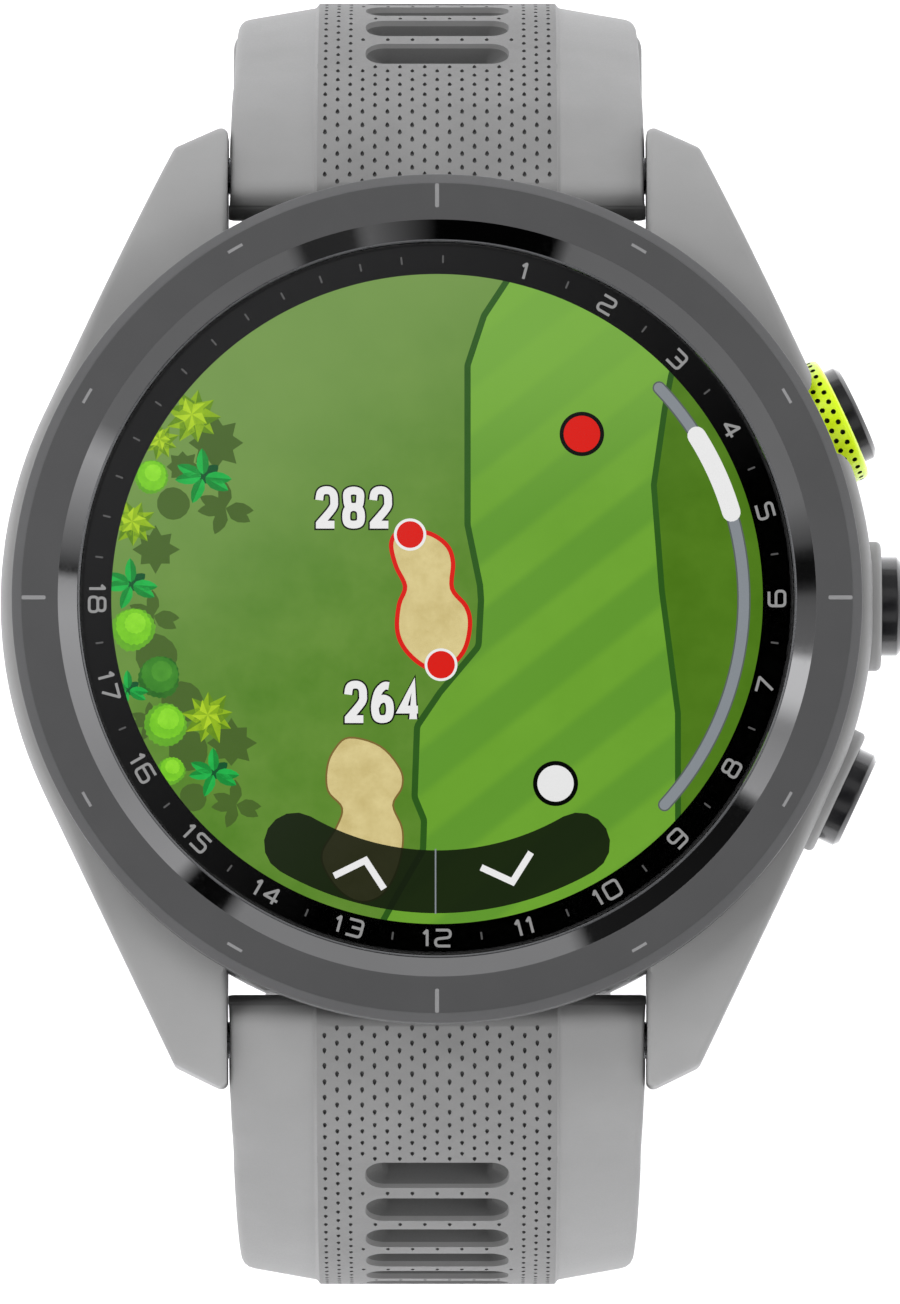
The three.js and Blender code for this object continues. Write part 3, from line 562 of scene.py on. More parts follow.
case = make_case()
for s in (1, -1):
    y0, y1 = sorted((s * NOTCH_Y, s * 32))
    boolean(case, prism("cut", [(-GAP - 0.01, y0), (GAP + 0.01, y0), (GAP + 0.01, y1), (-GAP - 0.01, y1)], -3, 9.0))
    boolean(case, cylinder("cut", 1.1, -20, 20, (1, 0, 0), (0, s * PIN_Y, PIN_Z), 48))
for deg in BTN.values():
    a = math.radians(deg)
    boolean(case, cylinder("cut", 3.62, 21.7, 30, (math.cos(a), math.sin(a), 0), (0, 0, BTN_Z), 96))
    boolean(case, cylinder("cut", 1.98, 15, 22, (math.cos(a), math.sin(a), 0), (0, 0, BTN_Z), 48))
a = math.radians(BTN["upper"])
print("case before notch", len(case.data.polygons))
boolean(case, cylinder("cut", 3.62, 22.98, 30, (math.cos(a), math.sin(a), 0), (0, 0, BTN_Z + 1.2), 96))
print("case after notch", len(case.data.polygons))
outward(case)
piece(case, M["case"], "case", "case_polymer", "mid_case", angle=38)

# ------------------------------------------------------------------ bezel, lens
bz = [(19.42, 12.05), (19.42, 13.27), (19.50, 13.3167), (20.42, 13.8533), (20.5, 13.9), (20.62, 13.9), (22.34, 13.9), (22.46, 13.9), (22.56, 13.804), (22.9, 13.476), (23.0, 13.38), (23.0, 11.1), (22.6, 10.7), (18.0, 10.7), (18.0, 12.05)]
bz_r = [0, 0.03, 0, 0, 0.035, 0, 0, 0.05, 0, 0, 0.08, 0.12, 0.1, 0, 0]
prof, kinds = [], []
pr = rounded(bz, bz_r, 4)
bezel = lathe("bezel_ring", pr, 288, mats=[1 if (19.3 < (pr[i][0] + pr[(i + 1) % len(pr)][0]) / 2 < 20.49 and (pr[i][1] + pr[(i + 1) % len(pr)][1]) / 2 > 12.6) else 0 for i in range(len(pr))])
piece(bezel, [M["bezel"], M["polish"]], "case", "bezel_metal", "bezel", angle=26)


def polar_bar(r0, r1, half_w, clock, z0, z1, bow=0):
    """A bar that lies along a radius; clock is degrees clockwise from 12."""
    a = math.radians(90 - clock)
    u, v = (math.cos(a), math.sin(a)), (-math.sin(a), math.cos(a))
    pts = rounded([(r0, -half_w), (r1, -half_w), (r1, half_w), (r0, half_w)], half_w * 0.6, 2)
    pts = [(u[0] * p + v[0] * q, u[1] * p + v[1] * q) for p, q in pts]
    n = len(pts)
    return [(x, y, z0) for x, y in pts] + [(x, y, z1) for x, y in pts], [tuple(range(n, 2 * n))] + [(i, (i + 1) % n, n + (i + 1) % n, n + i) for i in range(n)] + [tuple(range(n))[::-1]]


def joined(name, parts):
    V, F = [], []
    for v, f in parts:
        k = len(V)
        V += list(v)
        F += [tuple(k + i for i in t) for t in f]
    o = mesh_from(name, V, F)
    outward(o)
    return o


def cross_bar(r, half_len, half_w, clock, z0, z1):
    """A short bar that lies across a radius, following the ring."""
    d = math.degrees(half_len / r)
    ring_ = [((r + half_w) * math.cos(math.radians(90 - clock + d * (k / 6 - 1))), (r + half_w) * math.sin(math.radians(90 - clock + d * (k / 6 - 1)))) for k in range(13)]
    ring_ += [((r - half_w) * math.cos(math.radians(90 - clock - d * (k / 6 - 1))), (r - half_w) * math.sin(math.radians(90 - clock - d * (k / 6 - 1)))) for k in range(13)]
    n = len(ring_)
    return [(x, y, z0) for x, y in ring_] + [(x, y, z1) for x, y in ring_], [tuple(range(n, 2 * n))] + [(i, (i + 1) % n, n + (i + 1) % n, n + i) for i in range(n)] + [tuple(range(n))[::-1]]


marks = [polar_bar(21.15, 22.45, 0.11, c * 30, 13.86, 13.912) if c % 3 == 0 else cross_bar(21.84, 0.45, 0.08, c * 30, 13.86, 13.912) for c in range(12)]
piece(joined("bezel_hour_marks", marks), M["mark"], "case", "bezel_metal")

lip = lathe("lens_edge_ring", rounded([(19.335, 12.9), (19.45, 12.9), (19.45, 13.31), (19.40, 13.335), (19.335, 13.29)], [0, 0, 0.01, 0.02, 0.01], 3), 256)
piece(lip, M["steel"], "case", "bezel_metal", angle=30)
lens = lathe("lens_glass", rounded([(0, 12.98), (19.1, 12.98), (19.31, 12.98), (19.31, 13.25), (19.12, 13.25), (18.9, 13.25), (0, 13.25)], [0, 0, 0.03, 0.09, 0, 0, 0], 4), 256)
piece(lens, glass_mat, "case", "lens", "cover_glass", angle=40)

Z_PRINT = 12.93
ring = lathe("lens_print_ring", [(17.62, 12.66), (19.3, 12.66), (19.3, Z_PRINT), (17.62, Z_PRINT)], 256)
piece(ring, M["print"], "case", "display")
base = lathe("display_stack", [(0, 11.0), (19.25, 11.0), (19.25, 12.4), (0, 12.4)], 192)
piece(base, M["print"], "case", "display", "display_panel")


# ------------------------------------------------------------------ dial figures, drawn as strokes
def ribbon(points, w, closed=False, cap=3):
    """An outline of the given width about a polyline, with mitred corners."""
    P = np.array(points, float)
    n = len(P)
    if closed:
        t = np.roll(P, -1, 0) - P
        t /= np.linalg.norm(t, axis=1)[:, None]
        tp = np.roll(t, 1, 0)
    else:
        t = np.diff(P, axis=0)
        t /= np.linalg.norm(t, axis=1)[:, None]
        tp = np.vstack([t[:1], t])
        t = np.vstack([t, t[-1:]])
    nn = np.stack([-(t + tp)[:, 1], (t + tp)[:, 0]], 1)
    nn /= np.linalg.norm(nn, axis=1)[:, None]
    k = 1 / np.clip((nn * np.stack([-t[:, 1], t[:, 0]], 1)).sum(1), 0.5, 1)
    L, Rr = P + nn * (w / 2 * k)[:, None], P - nn * (w / 2 * k)[:, None]
    return P, t, L, Rr


def stroke_mesh(points, w, z, closed=False, round_caps=True):
    P, t, L, Rr = ribbon(points, w, closed)
    n = len(P)
    V = [(x, y, z) for x, y in L] + [(x, y, z) for x, y in Rr]
    F = [(i, (i + 1) % n, n + (i + 1) % n, n + i) for i in range(n if closed else n - 1)]
    if not closed and round_caps:
        for end, sgn in ((0, -1), (n - 1, 1)):
            d = t[0] * -1 if end == 0 else t[-1]
            side = (Rr[end] - P[end]) if end == 0 else (L[end] - P[end])
            a0 = math.atan2(side[1], side[0])
            c = P[end]
            r = w / 2
            base_i = len(V)
            # half circle from one side, over the end, to the other
            da = math.atan2(d[1], d[0]) - a0
            sg = 1 if math.sin(da) > 0 else -1
            pts = [(c[0] + r * math.cos(a0 + sg * math.pi * q / 8), c[1] + r * math.sin(a0 + sg * math.pi * q / 8), z) for q in range(1, 8)]
            V += pts
            first = (n + end) if end == 0 else end
            last = end if end == 0 else (n + end)
            F.append(tuple([first] + list(range(base_i, base_i + 7)) + [last]))
    return V, F


def fillet_line(pts, r, n=3, closed=False):
    if closed:
        return rounded(pts, r, n)
    out = [tuple(pts[0])]
    for i in range(1, len(pts) - 1):
        tri = rounded([pts[i - 1], pts[i], pts[i + 1]], [0, r, 0], n)
        out += tri[1:-1]
    return out + [tuple(pts[-1])]


# glyph strokes in a 1 wide by 1 high cell, centred on 0
def box_pts(x0, y0, x1, y1):
    return [(x0, y0), (x1, y0), (x1, y1), (x0, y1)]


G = {
    "0": [("c", box_pts(-.5, -.5, .5, .5))],
    "1": [("o", [(-.22, .26), (.02, .5), (.02, -.5)])],
    "2": [("o", [(-.48, .5), (.5, .5), (.5, .04), (-.5, -.06), (-.5, -.5), (.5, -.5)])],
    "3": [("o", [(-.46, .5), (.5, .5), (.5, -.5), (-.5, -.5)]), ("o", [(-.2, .02), (.5, .02)])],
    "4": [("o", [(.22, -.5), (.22, .5), (-.5, -.2), (.52, -.2)])],
    "5": [("o", [(.48, .5), (-.46, .5), (-.46, .08), (.5, .08), (.5, -.5), (-.5, -.5)])],
    "6": [("o", [(.46, .5), (-.5, .5), (-.5, -.5), (.5, -.5), (.5, .06), (-.5, .06)])],
    "7": [("o", [(-.48, .5), (.5, .5), (-.12, -.5)])],
    "8": [("c", box_pts(-.5, -.5, .5, .04)), ("c", box_pts(-.44, .04, .44, .5))],
    "9": [("o", [(-.46, -.5), (.5, -.5), (.5, .5), (-.5, .5), (-.5, -.06), (.5, -.06)])],
}


def figure(text, cx, cy, angle, h, w, gap, stroke, z):
    """Figures centred on a point, turned by angle."""
    parts = []
    adv = [w * (0.42 if ch == "1" else 1.0) for ch in text]
    total = sum(adv) + gap * (len(text) - 1)
    x = -total / 2
    ca, sa = math.cos(angle), math.sin(angle)
    for ch, a in zip(text, adv):
        mx = x + a / 2
        for kind, pts in G[ch]:
            q = [(mx + px * w, py * h) for px, py in pts]
            q = fillet_line(q, 0.2 * h if ch not in "147" else 0.02, 3, closed=(kind == "c"))
            q = [(cx + px * ca - py * sa, cy + px * sa + py * ca) for px, py in q]
            V, F = stroke_mesh(q, stroke, z, closed=(kind == "c"), round_caps=False)
            parts.append((V, F))
        x += a + gap
    return parts


def sheet_of(name, parts, thick=0.008):
    """Flat shapes given a little body, so that each is a closed piece."""
    V, F = [], []
    for v, f in parts:
        k = len(V)
        V += list(v)
        F += [tuple(k + i for i in t) for t in f]
    o = mesh_from(name, V, F)
    bm = bmesh.new()
    bm.from_mesh(o.data)
    for f in bm.faces:
        if f.normal.z < 0:
            f.normal_flip()
    bm.normal_update()
    res = bmesh.ops.extrude_face_region(bm, geom=list(bm.faces))
    moved = [g for g in res["geom"] if isinstance(g, bmesh.types.BMVert)]
    bmesh.ops.translate(bm, verts=moved, vec=(0, 0, thick * MM))
    bmesh.ops.recalc_face_normals(bm, faces=bm.faces)
    bm.to_mesh(o.data)
    bm.free()
    return o


fig, tick = [], []
for k in range(1, 19):
    c = 15 * k
    a = math.radians(90 - c)
    rot = a - math.pi / 2 if k <= 5 else a + math.pi / 2
    r = 18.38
    fig += figure(str(k), r * math.cos(a), r * math.sin(a), rot, 0.86, 0.80, 0.30, 0.15, Z_PRINT)
for c in [7.5 + 15 * i for i in range(1, 18)] + [277, 284, 291, 298, 305, 312, 319, 326, 333, 340, 347, 354, 1]:
    v, f = polar_bar(18.2, 18.62, 0.05, c, Z_PRINT, Z_PRINT)
    tick.append((v[len(v) // 2:], [tuple(range(len(v) // 2))]))
# printed figures and ticks made to glow: painted light
piece(sheet_of("dial_figures", fig), M["figure"], "case", "display")
piece(sheet_of("dial_ticks", tick), M["figure_dim_glow"], "case", "display")

# ------------------------------------------------------------------ the display's golf-hole map
SC = 18.5


def px(p):
    return ((p[0] - 437) / SC, (598.5 - p[1]) / SC)


def smooth_loop(pts, n=6, closed=True):
    P = [np.array(p, float) for p in pts]
    m = len(P)
    out = []
    for i in range(m if closed else m - 1):
        p0, p1, p2, p3 = (P[(i - 1) % m], P[i], P[(i + 1) % m], P[(i + 2) % m]) if closed else (P[max(i - 1, 0)], P[i], P[i + 1], P[min(i + 2, m - 1)])
        for k in range(n):
            t = k / n
            out.append(tuple(0.5 * ((2 * p1) + (-p0 + p2) * t + (2 * p0 - 5 * p1 + 4 * p2 - p3) * t * t + (-p0 + 3 * p1 - 3 * p2 + p3) * t ** 3)))
    if not closed:
        out.append(tuple(P[-1]))
    return out


def flat(name, pts, z, mat):
    return piece(sheet_of(name, [([(x, y, z) for x, y in pts], [tuple(range(len(pts)))])]), mat, "case", "display")


def lines(name, strokes, z, mat, closed=False, caps=True):
    return piece(sheet_of(name, [stroke_mesh(p, w, z, closed, caps) for p, w in strokes]), mat, "case", "display")


def disc_pts(cx, cy, r, n=48):
    return [(cx + r * math.cos(2 * math.pi * k / n), cy + r * math.sin(2 * math.pi * k / n)) for k in range(n)]


ROUGH = lit("map_rough", srgb(84, 132, 38), 1.0, var_scale=260, col2=srgb(104, 146, 56), gradient=((-0.55, 0.83), (0, 16), srgb(124, 158, 84), 0.75))
FAIR = lit("map_fairway", srgb(108, 164, 50), 1.0, var_scale=200, col2=srgb(114, 170, 54), stripes=((-0.62, 0.785), 3.9, srgb(96, 152, 50), 0.45), gradient=((0, 1), (3, 15), srgb(132, 184, 76), 0.6))
RIGHT = lit("map_rough_right", srgb(72, 116, 24), 1.0, var_scale=240, col2=srgb(86, 130, 34))
EDGE = lit("map_edge", srgb(46, 92, 30), 1.0, var=0.08)
SAND = lit("map_sand", srgb(206, 188, 126), 1.0, var_scale=900, col2=srgb(226, 210, 150))
RED = lit("map_red", srgb(222, 30, 22), 1.0, var=0.02)
BROWN = lit("map_sand_edge", srgb(126, 104, 52), 1.0, var=0.05)
WHITE = lit("map_white", srgb(240, 240, 240), 1.0, var=0.01)
DOTW = lit("map_dot_white", srgb(236, 236, 236), 1.0, var=0.02)
BLACK = lit("map_black", srgb(8, 10, 8), 1.0, var=0.1)
GREY = lit("map_grey", srgb(138, 144, 150), 1.0, var=0.03)
GREYD = lit("map_grey_edge", srgb(92, 100, 96), 1.0, var=0.03)
BAR = lit("map_bar", srgb(24, 32, 18), 1.0, var=0.04, alpha=0.84)
SHADOW = lit("map_shadow", srgb(74, 104, 40), 1.0, var=0.05)
LIME1 = lit("map_bush", srgb(112, 196, 34), 1.0, var_scale=1400, col2=srgb(132, 216, 40))
LIME1B = lit("map_bush_edge", srgb(92, 166, 36), 1.0, var_scale=1400, col2=srgb(108, 182, 42))
LIME1C = lit("map_bush_light", srgb(132, 216, 40), 1.0, var_scale=1400, col2=srgb(152, 232, 54))
LIME2 = lit("map_bush_dark", srgb(38, 104, 30), 1.0, var_scale=1400, col2=srgb(52, 122, 36))
LIME2B = lit("map_bush_dark_mid", srgb(52, 128, 34), 1.0, var_scale=1400, col2=srgb(66, 144, 42))
LIME2C = lit("map_bush_dark_light", srgb(66, 142, 40), 1.0, var_scale=1400, col2=srgb(80, 158, 48))
STAR1 = lit("map_star_yellow", srgb(132, 172, 20), 1.0, var_scale=1400, col2=srgb(154, 194, 28))
STAR1C = lit("map_star_yellow_light", srgb(168, 206, 34), 1.0, var_scale=1400, col2=srgb(188, 222, 44))
STAR1D = lit("map_star_yellow_dark", srgb(88, 132, 18), 1.0, var_scale=1400, col2=srgb(108, 150, 24))
TEAL = lit("map_star_teal", srgb(22, 170, 66), 1.0, var_scale=1400, col2=srgb(34, 190, 80))
TEALB = lit("map_star_teal_shade", srgb(12, 132, 50), 1.0, var_scale=1400, col2=srgb(20, 150, 58))
TEALD = lit("map_star_teal_dark", srgb(8, 86, 42), 1.0, var=0.08)

flat("map_rough", disc_pts(0, 0, 18.4, 128), 12.41, ROUGH)
left_edge = [(520, 255), (507, 279), (484, 314), (467.5, 364), (467.5, 524), (480, 585), (481, 600), (478.5, 646), (440, 692), (417, 726), (414.5, 797), (424, 820), (423, 850), (396, 897), (378, 930)]
right_edge = [(676, 355), (671, 376), (665, 408), (654, 484), (662, 590), (678, 713), (678, 850)]
fair = [px(p) for p in left_edge] + [px(p) for p in [(480, 935), (600, 900), (678, 850)]] + [px(p) for p in right_edge[::-1][1:]] + [px(p) for p in [(640, 310), (580, 270)]]
flat("map_fairway", fair, 12.43, FAIR)
flat("map_right_rough", [px(p) for p in right_edge] + [px(p) for p in [(765, 760), (785, 600), (765, 450), (700, 350)]], 12.45, RIGHT)
lines("map_edge_lines", [(fillet_line([px(p) for p in left_edge], 0.6, 3), 0.34), (fillet_line([px(p) for p in right_edge], 0.6, 3), 0.32)], 12.47, EDGE)
b1 = smooth_loop([px(p) for p in [(408, 530), (430, 533), (447, 545), (453, 562), (452, 588), (466, 606), (470, 624), (465, 648), (452, 664), (436, 670), (418, 662), (403, 646), (397, 628), (399, 604), (405, 586), (396, 566), (391, 545), (396, 533)]], 5)
b2 = smooth_loop([px(p) for p in [(349, 737.5), (380, 746), (400, 769), (402, 787), (393, 805), (402, 828), (402, 850), (395, 875), (382, 895), (362, 902), (342, 893), (326, 872), (322, 852), (336, 828), (342, 808), (328, 791), (327, 768), (334, 750)]], 5)
flat("map_bunker_1", b1, 12.49, SAND)
flat("map_bunker_2", b2, 12.49, SAND)
lines("map_bunker_2_edge", [(b2, 0.10)], 12.51, BROWN, closed=True)
lines("map_bunker_1_edge", [(b1, 0.24)], 12.51, RED, closed=True)


# bushes and palms, each over its own shadow
def spiky(cx, cy, r, n, depth, seed, rot=0.0):
    rs = np.random.RandomState(seed)
    out = []
    for k in range(2 * n):
        a = rot + math.pi * k / n
        q = r * (1 + 0.10 * rs.uniform(-1, 1)) if k % 2 == 0 else r * (1 - depth)
        out.append((cx + q * math.cos(a), cy + q * math.sin(a)))
    return out


def leaf(cx, cy, a, length, wide, base=0.15):
    pts = [(base, 0), (0.35, 0.5), (0.62, 0.48), (0.85, 0.25), (1, 0), (0.85, -0.25), (0.62, -0.48), (0.35, -0.5)]
    ca, sa = math.cos(a), math.sin(a)
    return [(cx + (u * length) * ca - (v * wide) * sa, cy + (u * length) * sa + (v * wide) * ca) for u, v in pts]


trees = {k: [] for k in ("shadow", "l1", "l1b", "l1c", "l2", "l2b", "l2c", "s1", "s1b", "s1c", "t", "tb", "td")}


def add_poly(kind, pts, z):
    trees[kind].append(([(x, y, z) for x, y in pts], [tuple(range(len(pts)))]))


def half_leaf(cx, cy, a, length, wide, side, base=0.0, kite=False):
    pts = [(base, 0), (1, 0), (0.42, 0.5 * side)] if kite else [(base, 0), (1, 0), (0.88, 0.24 * side), (0.66, 0.45 * side), (0.4, 0.5 * side), (0.18, 0.3 * side)]
    ca, sa = math.cos(a), math.sin(a)
    return [(cx + (u * length) * ca - (v * wide) * sa, cy + (u * length) * sa + (v * wide) * ca) for u, v in pts]


def blob(cx, cy, r, n, ragged, seed):
    rs = np.random.RandomState(seed)
    base_r = [1 + 0.07 * rs.uniform(-1, 1) for _ in range(7)]
    out = []
    for k in range(n):
        a = 2 * math.pi * k / n
        q = np.interp(k / n * 7, range(8), base_r + base_r[:1]) * (1 + ragged * (1 if k % 2 else -1) * (0.6 + 0.4 * rs.uniform(-1, 1)))
        out.append((cx + r * q * math.cos(a), cy + r * q * math.sin(a)))
    return out


zt = 12.53
SPAN = (1.62, 2.72, 3.25, 4.32, 5.78, 6.2)
bushes = [("s", 193, 416, 27), ("s", 160, 440, 17), ("b", 151, 477, 17), ("p", 203, 476, 27), ("s", 133, 523, 22), ("p", 131, 584, 25), ("b", 133, 629, 21.5), ("p", 128, 690, 19), ("d", 159, 677, 21),
          ("b", 166, 725, 21), ("s", 209, 717, 24), ("p", 214, 773, 24), ("b", 171, 771, 14)]
for i, (kind, x, y, r) in enumerate(bushes):
    cx, cy = px((x, y))
    r = r / SC
    sx, sy = cx + 1.2, cy - 1.4
    if kind in "bd":
        add_poly("shadow", blob(sx, sy, r * 0.98, 28, 0.02, i), zt)
        add_poly("l2" if kind == "d" else "l1b", blob(cx, cy, r, 44, 0.045, i + 40), zt + 0.02)
        add_poly("l2b" if kind == "d" else "l1", blob(cx + 0.04, cy + 0.14 * r, r * 0.84, 40, 0.05, i + 80), zt + 0.04)
        add_poly("l2c" if kind == "d" else "l1c", blob(cx + 0.10 * r, cy + 0.3 * r, r * 0.5, 30, 0.06, i + 120), zt + 0.06)
    elif kind == "s":
        add_poly("shadow", spiky(sx, sy, r * 1.02, 8, 0.32, i), zt)
        rs = np.random.RandomState(i + 60)
        add_poly("s1b", blob(cx, cy, r * 0.62, 20, 0.08, i), zt + 0.01)
        for k in range(9):
            a = 2 * math.pi * k / 9 + 0.3 * i
            L = r * (1.08 + 0.12 * rs.uniform(-1, 1))
            add_poly("s1", half_leaf(cx, cy, a, L, r * 0.66, 1, 0.1, True), zt + 0.02)
            add_poly("s1b", half_leaf(cx, cy, a, L, r * 0.66, -1, 0.1, True), zt + 0.02)
        for k in range(5):
            a = 2 * math.pi * k / 5 + 0.7 + 0.5 * i
            add_poly("s1c", half_leaf(cx - 0.06 * r, cy + 0.1 * r, a, r * 0.66, r * 0.5, 1, 0.0, True), zt + 0.04)
            add_poly("s1", half_leaf(cx - 0.06 * r, cy + 0.1 * r, a, r * 0.66, r * 0.5, -1, 0.0, True), zt + 0.04)
    else:
        for a in SPAN:
            add_poly("shadow", leaf(sx, sy - 0.3, a, r * 1.05, r * 0.5, 0.0), zt)
        add_poly("td", half_leaf(cx, cy, 0.65, r * 0.7, r * 0.44, 1), zt + 0.01)
        add_poly("td", half_leaf(cx, cy, 0.65, r * 0.7, r * 0.44, -1), zt + 0.01)
        add_poly("td", spiky(cx, cy, r * 0.34, 7, 0.25, i), zt + 0.02)
        for a in SPAN:
            add_poly("t", half_leaf(cx, cy, a, r * 1.06, r * 0.46, 1, 0.08), zt + 0.03)
            add_poly("tb", half_leaf(cx, cy, a, r * 1.06, r * 0.46, -1, 0.08), zt + 0.03)
for kind, mat, nm in (("shadow", SHADOW, "map_tree_shadows"), ("l1", LIME1, "map_bushes"), ("l1b", LIME1B, "map_bushes_edge"), ("l1c", LIME1C, "map_bushes_light"), ("l2", LIME2, "map_bushes_dark"), ("l2b", LIME2B, "map_bushes_dark_mid"), ("l2c", LIME2C, "map_bushes_dark_light"), ("s1", STAR1, "map_spiky_leaves"), ("s1c", STAR1C, "map_spiky_light"), ("tb", TEALB, "map_palms_shade"),
                      ("s1b", STAR1D, "map_spiky_base"), ("t", TEAL, "map_palms"), ("td", TEALD, "map_palm_hearts")):
    if trees[kind]:
        piece(sheet_of(nm, trees[kind], 0.006), mat, "case", "display")

# slider, dots, yardage figures and the lower bar
def sector(r, hw, a0, a1, z):
    pts = [(r * math.cos(math.radians(a0 + (a1 - a0) * k / 40)), r * math.sin(math.radians(a0 + (a1 - a0) * k / 40))) for k in range(41)]
    return stroke_mesh(pts, 2 * hw, z)


piece(sheet_of("map_slider_edge", [sector(16.6, 0.36, 43.6, -42.2, 12.56)]), GREYD, "case", "display")
piece(sheet_of("map_slider", [sector(16.6, 0.28, 43.6, -42.2, 12.58)]), GREY, "case", "display")
piece(sheet_of("map_slider_handle", [sector(16.6, 0.5, 32.2, 16.4, 12.60)]), WHITE, "case", "display")
for nm, c, ro, ri, mo, mi in (("map_pin_dot", (582, 433), 22.3, 18.3, BLACK, RED), ("map_ball_dot", (555.5, 783.5), 22.6, 18.2, BLACK, DOTW),
                              ("map_hazard_dot_1", (410, 534), 16.2, 13.4, WHITE, RED), ("map_hazard_dot_2", (441, 664.5), 16.4, 13.8, WHITE, RED)):
    x, y = px(c)
    flat(nm + "_rim", disc_pts(x, y, ro / SC), 12.56, mo)
    flat(nm, disc_pts(x, y, ri / SC), 12.58, mi)
piece(sheet_of("map_bar", [sector(15.32, 1.7, -120, -60, 12.56)]), BAR, "case", "display")
lines("map_bar_divider", [([px((435.5, 849)), px((435.5, 914))], 0.08)], 12.585, GREY, caps=False)
lines("map_chevrons", [([px(p) for p in [(334, 876), (365.5, 860.5), (384, 889)]], 0.36), ([px(p) for p in [(481, 867.5), (512.5, 882), (531, 852.5)]], 0.36)], 12.59, WHITE, caps=False)

# bold narrow figures with a dark outline
H = {
    "2": [("o", smooth_loop([(-.5, .22), (-.42, .42), (-.2, .5), (.18, .5), (.44, .4), (.5, .2), (.4, -.02), (-.46, -.47)], 4, False) + [(-.46, -.5), (.52, -.5)])],
    "8": [("c", smooth_loop([(0, .5), (.4, .44), (.44, .25), (.34, .06), (0, .02), (-.34, .06), (-.44, .25), (-.4, .44)], 4)),
          ("c", smooth_loop([(0, .02), (.4, -.06), (.5, -.26), (.4, -.45), (0, -.5), (-.4, -.45), (-.5, -.26), (-.4, -.06)], 4))],
    "6": [("o", smooth_loop([(.42, .47), (.1, .47), (-.28, .3), (-.48, 0), (-.5, -.25), (-.36, -.45), (0, -.5), (.38, -.44), (.5, -.22), (.4, .02), (.06, .1), (-.3, .02), (-.46, -.12)], 4, False))],
    "4": [("o", [(.24, -.5), (.24, .5), (-.52, -.22), (.56, -.22)])],
}


def bold(text, x0, x1, y0, y1, stroke, z):
    n = len(text)
    a, b_ = px((x0, y0)), px((x1, y1))
    width, height = abs(b_[0] - a[0]), abs(a[1] - b_[1])
    cw = width / n
    parts = []
    for i, ch in enumerate(text):
        cx, cy = a[0] + cw * (i + 0.5), (a[1] + b_[1]) / 2
        for kind, pts in H[ch]:
            q = [(cx + p * (cw * 0.84 - stroke), cy + r_ * (height - stroke)) for p, r_ in pts]
            parts.append((q, kind == "c"))
    return parts


for nm, t, bx in (("yardage_282", "282", (313, 394, 486, 528)), ("yardage_264", "264", (342, 423, 681, 723))):
    q = bold(t, bx[0], bx[1], bx[2], bx[3], 0.42, 0)
    for suffix, w, z, mat in (("_outline", 0.60, 12.62, BLACK), ("", 0.42, 12.64, WHITE)):
        piece(sheet_of(nm.replace("yardage", "map_distance") + suffix, [stroke_mesh(p, w, z, c, False) for p, c in q]), mat, "case", "display")

# ------------------------------------------------------------------ buttons
def radial(deg):
    a = math.radians(deg)
    return (math.cos(a), math.sin(a), 0)


